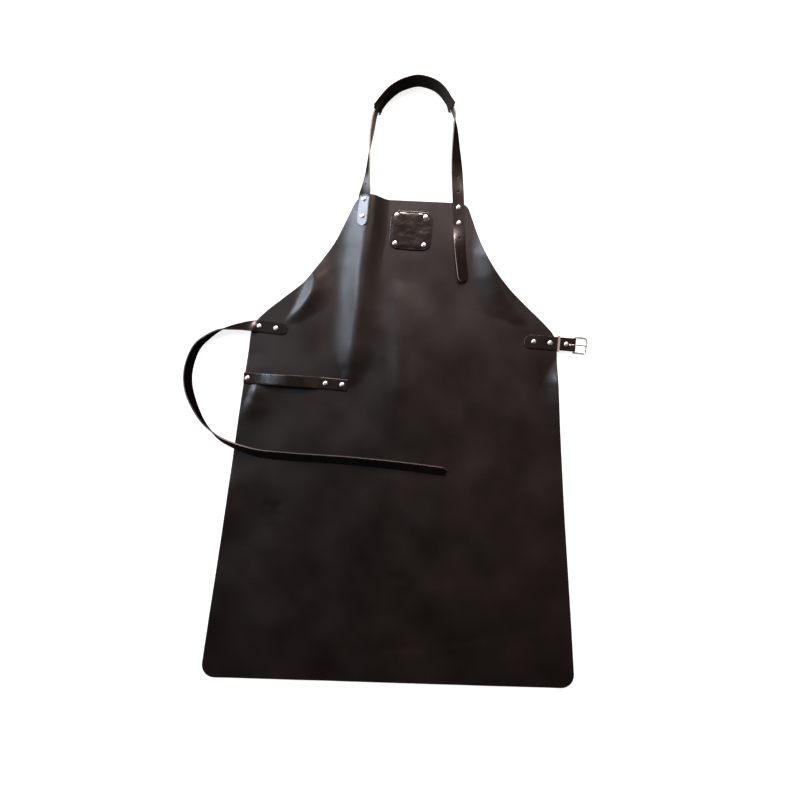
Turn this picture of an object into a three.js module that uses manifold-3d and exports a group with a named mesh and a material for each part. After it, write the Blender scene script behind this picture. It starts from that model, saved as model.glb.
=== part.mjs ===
// A leather work apron lying on its back on a flat floor: bib and skirt in one sheet, a neck strap with a
// sliding pad, a waist strap, a buckle tab, a towel loop and a riveted badge.
// Millimetres, +Z up from the floor, +Y towards the neck, X = 0 on the apron's centre line.
import * as THREE from "three";
import { mergeVertices } from "three/addons/utils/BufferGeometryUtils.js";
import Module from "manifold-3d";

const wasm = await Module();
wasm.setup();

// Leather, and the clearance between pieces that lie on each other
const BODY_THICK = 2.0;
const STRAP_THICK = 2.4;
const STRAP_WIDTH = 20;
const GAP = 0.4;

// Outline of the apron: its left and right edges at heights along the centre line, before corners are rounded
const HEM_Y = -407;
const TOP_Y = 436;
const OUTLINE = [
  { y: HEM_Y, left: -328, right: 327.5 },
  { y: -250, left: -311, right: 311.8 },
  { y: -100, left: -295, right: 295.8 },
  { y: 60, left: -279.6, right: 280.4 },
  { y: 160, left: -269, right: 270.8 },
  { y: 196, left: -265.6, right: 267.9 },
  { y: 212, left: -259, right: 262.5 },
  { y: 230, left: -243, right: 246.5 },
  { y: 260, left: -208, right: 213.5 },
  { y: 290, left: -173.8, right: 181 },
  { y: 320, left: -151.6, right: 155.8 },
  { y: 360, left: -125.2, right: 131.5 },
  { y: 400, left: -106.5, right: 114.8 },
  { y: TOP_Y, left: -90, right: 101 },
];
const HEM_CORNER = 25;
const BIB_CORNER = 13;
const HEM_SKEW = 0.014; // rise of the hem for each millimetre to the right
const HEM_SKEW_REACH = 200;
// The bib's top edge is pulled up beside the left strap
const TOP_RISE = { x: -68, height: 7, reach: 34, down: 70 };
const BODY_COLUMNS = 23;
const BODY_ROW_STEP = 27;
const CORNER_STEPS = 4;

// Soft folds: a crest from top to bottom as x, y and height, and the reach of the slopes on its left and right
const FOLDS = [
  {
    name: "bib ridge",
    crest: [
      [-64.5, 440, 10.7],
      [-65.5, 372, 10.7],
      [-75, 346, 11],
      [-77, 300, 11],
      [-79, 242, 9.5],
      [-84, 189, 7],
      [-88, 150, 3.6],
      [-90, 124, 1.3],
      [-92, 70, 0.8],
    ],
    left: 60,
    right: 42,
  },
  {
    name: "left armhole ridge",
    crest: [
      [-148, 308, 6],
      [-166, 266, 4.8],
      [-188, 232, 3],
    ],
    left: 22,
    right: 55,
  },
  {
    name: "right armhole curl",
    crest: [
      [150, 392, 8],
      [156, 350, 11.5],
      [163, 318, 10.5],
      [178, 290, 7.5],
      [203, 246, 4.5],
      [232, 214, 2],
    ],
    left: 50,
    right: 40,
  },
  {
    name: "right side curl",
    crest: [
      [280, 172, 4],
      [283, 132, 10],
      [290, 60, 3],
    ],
    left: 36,
    right: 30,
  },
  {
    name: "left side curl",
    crest: [
      [-279, 72, 4],
      [-284, 38, 3],
    ],
    left: 26,
    right: 26,
  },
  {
    name: "left hip lift",
    crest: [
      [-296, -80, 3],
      [-300, -130, 2],
    ],
    left: 45,
    right: 45,
  },
  {
    name: "left hem lift",
    crest: [
      [-318, -310, 2],
      [-322, -350, 2],
    ],
    left: 45,
    right: 45,
  },
];
const FOLD_END = 55; // a fold dies away over this distance past the ends of its crest
const CREST_ROUND = 0.2; // share of a slope that rounds over into the crest
const FOOT_ROUND = 0.45; // share of a slope that runs out into the flat

// Level seats where pieces are riveted on: the centre, its height, the half sizes and the fade
const SEATS = [
  { name: "bib", x: 40, y: 400, height: 1.4, halfX: 70, halfY: 58, fade: 60 },
  { name: "waist", x: -234, y: 203.5, height: 1.4, halfX: 44, halfY: 14, fade: 60 },
  { name: "towel left", x: -264, y: 114, height: 1.4, halfX: 16, halfY: 14, fade: 50 },
  { name: "towel right", x: -114, y: 111, height: 1.4, halfX: 36, halfY: 14, fade: 60 },
  { name: "tab", x: 246, y: 199, height: 2.4, halfX: 44, halfY: 18, fade: 80 },
];
// The neck strap's left end is riveted on the bib ridge, on a flat seat that rises to the right
const LEFT_RISE = 0.26;
const LEFT_TILT = THREE.MathUtils.radToDeg(Math.atan(LEFT_RISE));
const LEFT_SEAT = { x: -84, y: 416, height: 7, halfX: 15, halfY: 38, fade: 14 };

// Routes of the straps in plan, with the turn about their own length (0 is flat, grain up; positive turns the
// grain to the left of the way they run), the half width that stands on the floor and the rise off the leather
const STRAP_HALF = STRAP_WIDTH / 2;
const PAD_HALF = 19.5;
const NECK_ROUTE = [
  { x: -81.3, y: 387.5, roll: LEFT_TILT, stands: STRAP_HALF },
  { x: -79.4, y: 421, roll: LEFT_TILT, stands: STRAP_HALF },
  { x: -78.2, y: 440, roll: LEFT_TILT + 3, stands: STRAP_HALF, rise: -0.3 },
  { x: -77, y: 450, roll: 34, stands: STRAP_HALF, rise: -4.2 },
  { x: -76.4, y: 460, roll: 50, stands: STRAP_HALF, rise: -4.6 },
  { x: -74.6, y: 481, roll: 69, stands: STRAP_HALF, rise: -0.5 },
  { x: -73.6, y: 502, roll: 79, stands: STRAP_HALF },
  { x: -72.8, y: 523, roll: 89, stands: STRAP_HALF },
  { x: -69.4, y: 560, roll: 106, stands: STRAP_HALF + 3 },
  { x: -63, y: 588, roll: 104, stands: PAD_HALF },
  { x: -33.6, y: 625, roll: 103, stands: PAD_HALF },
  { x: 7.3, y: 641, roll: 102, stands: PAD_HALF },
  { x: 44.3, y: 628.5, roll: 101, stands: PAD_HALF },
  { x: 70.6, y: 588, roll: 98, stands: PAD_HALF },
  { x: 73.8, y: 568, roll: 72, stands: STRAP_HALF + 4 },
  { x: 77, y: 528, roll: 44, stands: STRAP_HALF },
  { x: 81.4, y: 484, roll: 12, stands: STRAP_HALF },
  { x: 86.1, y: 431, roll: 0, stands: STRAP_HALF },
  { x: 88.4, y: 398, roll: 0, stands: STRAP_HALF },
  { x: 92.9, y: 349, roll: 22, stands: STRAP_HALF },
  { x: 100.3, y: 299, roll: 27, stands: STRAP_HALF },
];
const WAIST_ROUTE = [
  { x: -202.5, y: 201.2, roll: 0, stands: STRAP_HALF },
  { x: -251.6, y: 205.6, roll: 0, stands: STRAP_HALF },
  { x: -263, y: 205.4, roll: 0, stands: STRAP_HALF },
  { x: -279, y: 204.1, roll: -20, stands: STRAP_HALF },
  { x: -300, y: 200.8, roll: -60, stands: STRAP_HALF },
  { x: -318, y: 196, roll: -86, stands: STRAP_HALF },
  { x: -339.4, y: 182.5, roll: -105, stands: STRAP_HALF },
  { x: -357.8, y: 164.2, roll: -117, stands: STRAP_HALF },
  { x: -371, y: 125, roll: -125, stands: STRAP_HALF },
  { x: -368.5, y: 88.4, roll: -122, stands: STRAP_HALF },
  { x: -345.1, y: 39.5, roll: -98, stands: STRAP_HALF },
  { x: -326.1, y: 18.5, roll: -82, stands: STRAP_HALF },
  { x: -305.2, y: 3.7, roll: -68, stands: STRAP_HALF },
  { x: -250.2, y: -14.3, roll: -52, stands: STRAP_HALF },
  { x: -190, y: -19, roll: -47, stands: STRAP_HALF },
  { x: -90, y: -21.4, roll: -47, stands: STRAP_HALF },
  { x: 12.8, y: -27.1, roll: -47, stands: STRAP_HALF },
  { x: 86.5, y: -33.4, roll: -47, stands: STRAP_HALF },
];
const TOWEL_ROUTE = [
  { x: -275, y: 114.2, roll: 0, stands: STRAP_HALF, rise: 0 },
  { x: -256, y: 113.7, roll: 0, stands: STRAP_HALF, rise: 0 },
  { x: -235, y: 113.2, roll: 0, stands: STRAP_HALF, rise: 7 },
  { x: -208, y: 112.6, roll: 0, stands: STRAP_HALF, rise: 12 },
  { x: -180, y: 112, roll: 0, stands: STRAP_HALF, rise: 12 },
  { x: -158, y: 111.5, roll: 0, stands: STRAP_HALF, rise: 8 },
  { x: -141, y: 111, roll: 0, stands: STRAP_HALF, rise: 0 },
  { x: -120, y: 110.4, roll: 0, stands: STRAP_HALF, rise: 0 },
  { x: -93.5, y: 109.2, roll: 0, stands: STRAP_HALF, rise: 0 },
];
const EDGE_CLEAR = 5; // a strap stays at the apron's height this far past its edge
const EDGE_FADE = 45; // and comes down to the floor over this distance
const STRAP_STEP = 15;
const HOLE_MARGIN = 5; // from a hole's centre to the strap's nearest cross sections
const TIP_STEPS = 4;
const BLUNT_TIP = 1.5; // half width left at a rounded tip

// Rivets, and where they and the punched holes sit along the straps
const CAP_RADIUS = 4.5;
const CAP_HEIGHT = 2.2;
const BACK_RADIUS = 4;
const BACK_HEIGHT = 0.8;
const POST_RADIUS = 1.8;
const POST_CLEARANCE = 0.3;
const CAP_GAP = 0.25;
const RIVET_SIDES = 10;
const HOLE_RADIUS = 2;
const HOLE_PITCH = 27;
const NECK_LEFT_RIVETS = [17, 46.5]; // from the strap's left tip
const NECK_TAIL = 106.5; // from the tail's tip to the lower right rivet
const NECK_HOLES = [-2, -1, 2, 3]; // free holes, counted in pitches from the upper right rivet
const WAIST_RIVETS = [19.8, 49.3]; // from the strap's inner tip
const WAIST_FIRST_HOLE = 42; // from the strap's free tip
const WAIST_HOLES = 6;
const TOWEL_RIVETS = [7, 143.3, 172.4]; // from the loop's left end

// Neck pad: a flattened sleeve of thin leather round the strap
const PAD_LENGTH = 178;
const PAD_FROM = 198; // from the strap's left tip
const PAD_WALL = 1.6;
const PAD_HOLLOW_HALF = STRAP_HALF + 1.2;
const PAD_HOLLOW_THICK = STRAP_THICK + 1.4;
const PAD_STEPS = 18;

// Badge: a rounded square with bulging sides
const BADGE = { x: 5.2, y: 384, turn: -1.4, width: 70, height: 64, bulge: 1.8, corner: 12, thick: 2.4 };
const BADGE_BEVEL = 0.7;
const BADGE_RIVETS = { acrossX: 50.6, acrossY: 49.4, x: 4, y: 384.8 };

// Buckle tab, in its own frame: its inner rivet is the origin and it runs along +X
const TAB = { x: 228.1, y: 199.9, turn: -2.2, width: 23 };
const TAB_TIP = -16.5;
const TAB_RIVETS = [0, 28.2, 56.5];
const TAB_BACK_END = 42.2; // the folded-back layer ends just short of the apron's edge
const BAR_X = 69.1;
const BAR_RADIUS = 1.5;
const BAR_CLEARANCE = 0.3;
const TAB_FACE = 4.8; // underside of the front layer
const LAYER_GAP = 0.3; // between the two layers
const SLOT_FROM = 61.2;
const SLOT_HALF = 2.2;
const EYE_INNER = BAR_RADIUS + BAR_CLEARANCE;
const EYE_OUTER = EYE_INNER + STRAP_THICK;
const BAR_Z = TAB_FACE - LAYER_GAP / 2;

// Keeper: a flat metal loop round the tab, with room for the waist strap's end above it
const KEEPER = { x: 41.5, band: 3.2, thick: 1.6, low: 0.2, slack: 0.6, room: 3.1 };

// Buckle: a wire frame on its bar, its outer bar down on the floor, with the prong resting on it
const FRAME_REACH = 22.6; // from the bar's centre to the outer bar's centre
const FRAME_HALF = 13.5; // from the middle to a side bar's centre
const HEEL_CORNER = 2;
const OUTER_CORNER = 3.5;
const WIRE_SIDES = 8;
const FRAME_TILT = Math.asin((BAR_Z - BAR_RADIUS) / FRAME_REACH);
const PRONG_RADIUS = 1;
const PRONG_RING = BAR_RADIUS + BAR_CLEARANCE + PRONG_RADIUS;
const PRONG_PAST_BAR = 2;

// Materials
const finishes = {
  bodyLeather: { color: "#2b2422", roughness: 0.5, metalness: 0 },
  strapLeather: { color: "#221c1a", roughness: 0.4, metalness: 0 },
  padLeather: { color: "#15100e", roughness: 0.75, metalness: 0 },
  badgeLeather: { color: "#1d1716", roughness: 0.3, metalness: 0 },
  nickel: { color: "#c9c7c4", roughness: 0.25, metalness: 1 },
};

const radians = THREE.MathUtils.degToRad;
const UP = new THREE.Vector3(0, 0, 1);

// A step from 0 to 1 with level ends
function ease(t) {
  const c = THREE.MathUtils.clamp(t, 0, 1);
  return c * c * (3 - 2 * c);
}

// The value of a table's column at a place between its rows, on a smooth curve that never overshoots them
function between(rows, key, column, at) {
  const last = rows.length - 1;
  const place = THREE.MathUtils.clamp(at, rows[0][key], rows[last][key]);
  let i = 0;
  while (i < last - 1 && place > rows[i + 1][key]) i += 1;
  const chord = (k) => (rows[k + 1][column] - rows[k][column]) / (rows[k + 1][key] - rows[k][key]);
  const slope = (k) => {
    const before = chord(Math.max(k - 1, 0));
    const after = chord(Math.min(k, last - 1));
    return before * after <= 0 ? 0 : (2 * before * after) / (before + after);
  };
  const span = rows[i + 1][key] - rows[i][key];
  const t = (place - rows[i][key]) / span;
  const change = rows[i + 1][column] - rows[i][column];
  const bend = (1 - t) * (slope(i) * span - change) - t * (slope(i + 1) * span - change);
  return rows[i][column] + change * t + t * (1 - t) * bend;
}

// Inset of a rounded corner at a distance from the edge that it rounds off
function cornerInset(radius, distance) {
  const d = Math.min(Math.max(distance, 0), radius);
  return radius - Math.sqrt(radius * radius - (radius - d) * (radius - d));
}

function edgeAt(side, y) {
  const inset = cornerInset(HEM_CORNER, y - HEM_Y) + cornerInset(BIB_CORNER, TOP_Y - y);
  return between(OUTLINE, "y", side, y) + (side === "left" ? inset : -inset);
}

// A fold's slope, from 1 on its crest to 0 at its foot: a rounded crest, an even run and a rounded foot
function flank(away) {
  const near = Math.min(away, CREST_ROUND);
  const even = THREE.MathUtils.clamp(away, CREST_ROUND, 1 - FOOT_ROUND) - CREST_ROUND;
  const far = THREE.MathUtils.clamp(away - 1 + FOOT_ROUND, 0, FOOT_ROUND);
  const fallen = (near * near) / (2 * CREST_ROUND) + even + far - (far * far) / (2 * FOOT_ROUND);
  return 1 - fallen / (1 - (CREST_ROUND + FOOT_ROUND) / 2);
}

// Height of one fold over a point: the highest of the runs of its crest
function ridge(fold, x, y) {
  let height = 0;
  for (let i = 0; i + 1 < fold.crest.length; i += 1) {
    const [x0, y0, h0] = fold.crest[i];
    const [x1, y1, h1] = fold.crest[i + 1];
    const length = Math.hypot(x1 - x0, y1 - y0);
    const along = ((x - x0) * (x1 - x0) + (y - y0) * (y1 - y0)) / length;
    const aside = ((y - y0) * (x1 - x0) - (x - x0) * (y1 - y0)) / length;
    const past = Math.max(-along, along - length, 0);
    const away = Math.hypot(aside / (aside < 0 ? fold.left : fold.right), past / FOLD_END);
    const level = h0 + (h1 - h0) * THREE.MathUtils.clamp(along / length, 0, 1);
    height = Math.max(height, level * flank(away));
  }
  return height;
}

// How far a point belongs to a seat: 1 on it, 0 past its fade
function seated(seat, x, y) {
  const outX = Math.max(Math.abs(x - seat.x) - seat.halfX, 0);
  const outY = Math.max(Math.abs(y - seat.y) - seat.halfY, 0);
  return 1 - ease(Math.hypot(outX, outY) / seat.fade);
}

// Underside of the apron above the floor: the highest of the folds and the level seats, then the tilted seat
function underside(x, y) {
  let height = 0;
  for (const fold of FOLDS) height = Math.max(height, ridge(fold, x, y));
  for (const seat of SEATS) height = Math.max(height, seat.height * seated(seat, x, y));
  const plane = LEFT_SEAT.height + LEFT_RISE * (x - LEFT_SEAT.x);
  return height + (plane - height) * seated(LEFT_SEAT, x, y);
}

// Upper face of the apron: one leather thickness off the underside, measured square to it
function face(x, y) {
  const d = 0.5;
  const slopeX = (underside(x + d, y) - underside(x - d, y)) / (2 * d);
  const slopeY = (underside(x, y + d) - underside(x, y - d)) / (2 * d);
  return underside(x, y) + BODY_THICK * Math.hypot(1, slopeX, slopeY);
}

// Height of what a strap lies on: the apron's face, coming down to the floor past the apron's edge
function ground(x, y) {
  const past = Math.max(
    edgeAt("left", y) - x,
    x - edgeAt("right", y),
    y - TOP_Y - TOP_RISE.height,
    HEM_Y - y,
  );
  return (face(x, y) + GAP) * (1 - ease((past - EDGE_CLEAR) / EDGE_FADE));
}

// Solids: closed geometry to a manifold and back
function solidOf(geometry) {
  const bare = geometry.clone();
  bare.deleteAttribute("normal");
  bare.deleteAttribute("uv");
  const merged = mergeVertices(bare, 1e-4);
  return new wasm.Manifold(
    new wasm.Mesh({
      numProp: 3,
      vertProperties: new Float32Array(merged.attributes.position.array),
      triVerts: new Uint32Array(merged.index.array),
    }),
  );
}

function geometryOf(solid) {
  const mesh = solid.getMesh();
  const geometry = new THREE.BufferGeometry();
  geometry.setAttribute("position", new THREE.BufferAttribute(mesh.vertProperties, 3));
  geometry.setIndex(new THREE.BufferAttribute(mesh.triVerts, 1));
  geometry.computeVertexNormals();
  return geometry;
}

// Moves every vertex of a geometry by a function of its place
function reshape(geometry, place) {
  const position = geometry.attributes.position;
  const vertex = new THREE.Vector3();
  for (let i = 0; i < position.count; i += 1) {
    vertex.fromBufferAttribute(position, i);
    const moved = place(vertex);
    position.setXYZ(i, moved.x, moved.y, moved.z);
  }
  return geometry;
}

function addMesh(group, name, solid, finish) {
  const mesh = new THREE.Mesh(geometryOf(solid), new THREE.MeshStandardMaterial(finish));
  mesh.name = name;
  group.add(mesh);
  return mesh;
}

// A rod of given radius through a point, for drilling
function drill(point, axis, radius, length) {
  const rod = new THREE.CylinderGeometry(radius, radius, length, RIVET_SIDES);
  const turn = new THREE.Quaternion().setFromUnitVectors(new THREE.Vector3(0, 1, 0), axis);
  rod.applyQuaternion(turn);
  rod.translate(point.x, point.y, point.z);
  return solidOf(rod);
}

// A rivet that grips a stack of leather: a domed cap on top of it, a post and a flat back cap under it
function rivetSolid(top, axis, grip) {
  const below = -grip - CAP_GAP;
  const profile = [
    new THREE.Vector2(0, below - BACK_HEIGHT),
    new THREE.Vector2(BACK_RADIUS, below - BACK_HEIGHT),
    new THREE.Vector2(BACK_RADIUS, below),
    new THREE.Vector2(POST_RADIUS, below),
    new THREE.Vector2(POST_RADIUS, CAP_GAP),
    new THREE.Vector2(CAP_RADIUS, CAP_GAP),
    new THREE.Vector2(CAP_RADIUS * 0.88, CAP_GAP + CAP_HEIGHT * 0.55),
    new THREE.Vector2(CAP_RADIUS * 0.5, CAP_GAP + CAP_HEIGHT * 0.92),
    new THREE.Vector2(0, CAP_GAP + CAP_HEIGHT),
  ];
  const shape = new THREE.LatheGeometry(profile, RIVET_SIDES);
  const turn = new THREE.Quaternion().setFromUnitVectors(new THREE.Vector3(0, 1, 0), axis);
  shape.applyQuaternion(turn);
  shape.translate(top.x, top.y, top.z);
  return solidOf(shape);
}

// A strap's route as a smooth curve in plan, with its table
function routeOf(table) {
  const rows = table.map((row, step) => ({ rise: 0, ...row, step }));
  const curve = new THREE.CatmullRomCurve3(rows.map((row) => new THREE.Vector3(row.x, row.y, 0)));
  curve.arcLengthDivisions = 600;
  return { rows, curve, length: curve.getLength() };
}

// The strap's frame at a distance along its route: middle of its thickness, left side and grain directions
function station(route, distance) {
  const t = route.curve.getUtoTmapping(distance / route.length);
  const step = t * (route.rows.length - 1);
  const at = (column) => between(route.rows, "step", column, step);
  const point = route.curve.getPoint(t);
  const along = route.curve.getTangent(t);
  const left = new THREE.Vector3(-along.y, along.x, 0).normalize();
  const roll = radians(at("roll"));
  const grain = UP.clone().multiplyScalar(Math.cos(roll)).addScaledVector(left, Math.sin(roll));
  const side = left.clone().multiplyScalar(Math.cos(roll)).addScaledVector(UP, -Math.sin(roll));
  const reach = STRAP_HALF / 2;
  const tilt =
    ground(point.x + left.x * reach, point.y + left.y * reach) -
    ground(point.x - left.x * reach, point.y - left.y * reach);
  const lean = roll + Math.atan(tilt / (2 * reach));
  const thick = (STRAP_THICK / 2) * Math.abs(Math.cos(lean));
  point.z = ground(point.x, point.y) + at("stands") * Math.abs(Math.sin(lean)) + thick + at("rise");
  return { point, along, side, grain };
}

function onStation(frame, across, depth) {
  return frame.point.clone().addScaledVector(frame.side, across).addScaledVector(frame.grain, depth);
}

// Places of the cross sections along a strap: close together at a rounded tip, one on each side of a hole, and
// even between
function strapStops(length, rounded, holes) {
  const tip = [];
  for (let i = 0; rounded && i < TIP_STEPS; i += 1) {
    tip.push(STRAP_HALF * (1 - Math.cos((i / TIP_STEPS) * (Math.PI / 2))));
  }
  const end = rounded ? STRAP_HALF : 0;
  const marks = [end, length - end];
  for (const hole of holes) marks.push(hole - HOLE_MARGIN, hole + HOLE_MARGIN);
  marks.sort((a, b) => a - b);
  const stops = [...tip];
  for (let i = 0; i + 1 < marks.length; i += 1) {
    const span = marks[i + 1] - marks[i];
    const count = Math.ceil(span / STRAP_STEP);
    for (let k = 0; k < count; k += 1) stops.push(marks[i] + (span * k) / count);
  }
  stops.push(length - end, ...tip.map((d) => length - d).reverse());
  return stops;
}

function strapSolid(route, rounded, holes) {
  const stops = strapStops(route.length, rounded, holes);
  const frames = stops.map((stop) => station(route, stop));
  const spans = stops.length - 1;
  const block = new THREE.BoxGeometry(1, 1, 1, spans, 1, 1);
  reshape(block, (v) => {
    const i = Math.round((v.x + 0.5) * spans);
    const fromTip = Math.min(stops[i], route.length - stops[i]);
    const inset = rounded ? cornerInset(STRAP_HALF, fromTip) : 0;
    const half = Math.max(STRAP_HALF - inset, BLUNT_TIP);
    return onStation(frames[i], v.y * 2 * half, v.z * STRAP_THICK);
  });
  return solidOf(block);
}

const apron = new THREE.Group();
const bodyDrills = [];

// Rivets along a strap: each drills the strap and the apron and adds its own mesh
function rivetStrap(route, solid, rivets) {
  const grip = STRAP_THICK + GAP + BODY_THICK;
  let drilled = solid;
  for (const rivet of rivets) {
    const frame = station(route, rivet.at);
    const top = onStation(frame, 0, STRAP_THICK / 2);
    const hole = drill(top, frame.grain, POST_RADIUS + POST_CLEARANCE, 4 * grip);
    drilled = drilled.subtract(hole);
    bodyDrills.push(hole);
    addMesh(apron, rivet.name, rivetSolid(top, frame.grain, grip), finishes.nickel);
  }
  return drilled;
}

function punch(route, solid, distances) {
  let punched = solid;
  for (const distance of distances) {
    const frame = station(route, distance);
    punched = punched.subtract(drill(frame.point, frame.grain, HOLE_RADIUS, 3 * STRAP_THICK));
  }
  return punched;
}

// Neck strap, with its rivets, adjusting holes and free tail
const neck = routeOf(NECK_ROUTE);
const upperRight = neck.length - NECK_TAIL - HOLE_PITCH;
const neckRivets = [
  { name: "neck_rivet_left_lower", at: NECK_LEFT_RIVETS[0] },
  { name: "neck_rivet_left_upper", at: NECK_LEFT_RIVETS[1] },
  { name: "neck_rivet_right_upper", at: upperRight },
  { name: "neck_rivet_right_lower", at: upperRight + HOLE_PITCH },
];
const neckHoles = NECK_HOLES.map((count) => upperRight + count * HOLE_PITCH);
neckHoles.push(NECK_LEFT_RIVETS[1] + HOLE_PITCH);
let neckStrap = strapSolid(neck, true, [...neckRivets.map((rivet) => rivet.at), ...neckHoles]);
neckStrap = rivetStrap(neck, neckStrap, neckRivets);
neckStrap = punch(neck, neckStrap, neckHoles);
addMesh(apron, "neck_strap", neckStrap, finishes.strapLeather);

// Neck pad: a flat tube whose straight extrusion is bent along the strap
const padOuter = new THREE.Shape();
const padSkin = PAD_HOLLOW_THICK / 2 + PAD_WALL;
padOuter.moveTo(-PAD_HALF, -PAD_WALL / 2);
padOuter.lineTo(-PAD_HOLLOW_HALF, -padSkin);
padOuter.lineTo(PAD_HOLLOW_HALF, -padSkin);
padOuter.lineTo(PAD_HALF, -PAD_WALL / 2);
padOuter.lineTo(PAD_HALF, PAD_WALL / 2);
padOuter.lineTo(PAD_HOLLOW_HALF, padSkin);
padOuter.lineTo(-PAD_HOLLOW_HALF, padSkin);
padOuter.lineTo(-PAD_HALF, PAD_WALL / 2);
padOuter.closePath();
const padHollow = new THREE.Path();
padHollow.moveTo(-PAD_HOLLOW_HALF, -PAD_HOLLOW_THICK / 2);
padHollow.lineTo(-PAD_HOLLOW_HALF, PAD_HOLLOW_THICK / 2);
padHollow.lineTo(PAD_HOLLOW_HALF, PAD_HOLLOW_THICK / 2);
padHollow.lineTo(PAD_HOLLOW_HALF, -PAD_HOLLOW_THICK / 2);
padHollow.closePath();
padOuter.holes.push(padHollow);
const padTube = new THREE.ExtrudeGeometry(padOuter, {
  depth: PAD_LENGTH,
  steps: PAD_STEPS,
  bevelEnabled: false,
});
reshape(padTube, (v) => onStation(station(neck, PAD_FROM + v.z), v.x, v.y));
addMesh(apron, "neck_pad", solidOf(padTube), finishes.padLeather);

// Waist strap, with its rivets and the buckle holes near its free tip
const waist = routeOf(WAIST_ROUTE);
const waistHoles = [];
for (let i = 0; i < WAIST_HOLES; i += 1) waistHoles.push(waist.length - WAIST_FIRST_HOLE - i * HOLE_PITCH);
let waistStrap = strapSolid(waist, true, [...WAIST_RIVETS, ...waistHoles]);
waistStrap = rivetStrap(waist, waistStrap, [
  { name: "waist_rivet_inner", at: WAIST_RIVETS[0] },
  { name: "waist_rivet_outer", at: WAIST_RIVETS[1] },
]);
waistStrap = punch(waist, waistStrap, waistHoles);
addMesh(apron, "waist_strap", waistStrap, finishes.strapLeather);

// Towel loop: a square-ended strap that stands off the apron between its rivets
const towel = routeOf(TOWEL_ROUTE);
let towelLoop = strapSolid(towel, false, TOWEL_RIVETS);
towelLoop = rivetStrap(towel, towelLoop, [
  { name: "towel_rivet_left", at: TOWEL_RIVETS[0] },
  { name: "towel_rivet_mid", at: TOWEL_RIVETS[1] },
  { name: "towel_rivet_right", at: TOWEL_RIVETS[2] },
]);
addMesh(apron, "towel_loop", towelLoop, finishes.strapLeather);

// Badge: an extruded plate with a small bevel, riveted at its corners
function badgeSolid() {
  const halfW = BADGE.width / 2 - BADGE_BEVEL;
  const halfH = BADGE.height / 2 - BADGE_BEVEL;
  const { corner, bulge } = BADGE;
  const shape = new THREE.Shape();
  shape.moveTo(-halfW + corner, -halfH);
  shape.quadraticCurveTo(0, -halfH - 2 * bulge, halfW - corner, -halfH);
  shape.quadraticCurveTo(halfW, -halfH, halfW, -halfH + corner);
  shape.quadraticCurveTo(halfW + 2 * bulge, 0, halfW, halfH - corner);
  shape.quadraticCurveTo(halfW, halfH, halfW - corner, halfH);
  shape.quadraticCurveTo(0, halfH + 2 * bulge, -halfW + corner, halfH);
  shape.quadraticCurveTo(-halfW, halfH, -halfW, halfH - corner);
  shape.quadraticCurveTo(-halfW - 2 * bulge, 0, -halfW, -halfH + corner);
  shape.quadraticCurveTo(-halfW, -halfH, -halfW + corner, -halfH);
  const plate = new THREE.ExtrudeGeometry(shape, {
    depth: BADGE.thick - 2 * BADGE_BEVEL,
    curveSegments: 5,
    bevelSize: BADGE_BEVEL,
    bevelThickness: BADGE_BEVEL,
    bevelSegments: 1,
  });
  plate.rotateZ(radians(BADGE.turn));
  plate.translate(BADGE.x, BADGE.y, face(BADGE.x, BADGE.y) + GAP + BADGE_BEVEL);
  return solidOf(plate);
}

let badge = badgeSolid();
const badgeTop = face(BADGE.x, BADGE.y) + GAP + BADGE.thick;
let badgeCount = 0;
for (const sideY of [1, -1]) {
  for (const sideX of [-1, 1]) {
    badgeCount += 1;
    const top = new THREE.Vector3(sideX * BADGE_RIVETS.acrossX, sideY * BADGE_RIVETS.acrossY, 0);
    top.multiplyScalar(0.5).applyAxisAngle(UP, radians(BADGE.turn));
    top.add(new THREE.Vector3(BADGE_RIVETS.x, BADGE_RIVETS.y, badgeTop));
    const grip = BADGE.thick + GAP + BODY_THICK;
    const hole = drill(top, UP, POST_RADIUS + POST_CLEARANCE, 4 * grip);
    badge = badge.subtract(hole);
    bodyDrills.push(hole);
    addMesh(apron, "badge_rivet_" + badgeCount, rivetSolid(top, UP, grip), finishes.nickel);
  }
}
addMesh(apron, "badge", badge, finishes.badgeLeather);

// Buckle tab: the side profile of a strap folded round the bar, extruded to its width, with a rounded tip
const tabGroup = new THREE.Group();
tabGroup.position.set(TAB.x, TAB.y, 0);
tabGroup.rotation.z = radians(TAB.turn);
tabGroup.updateMatrix();
apron.add(tabGroup);

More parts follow.
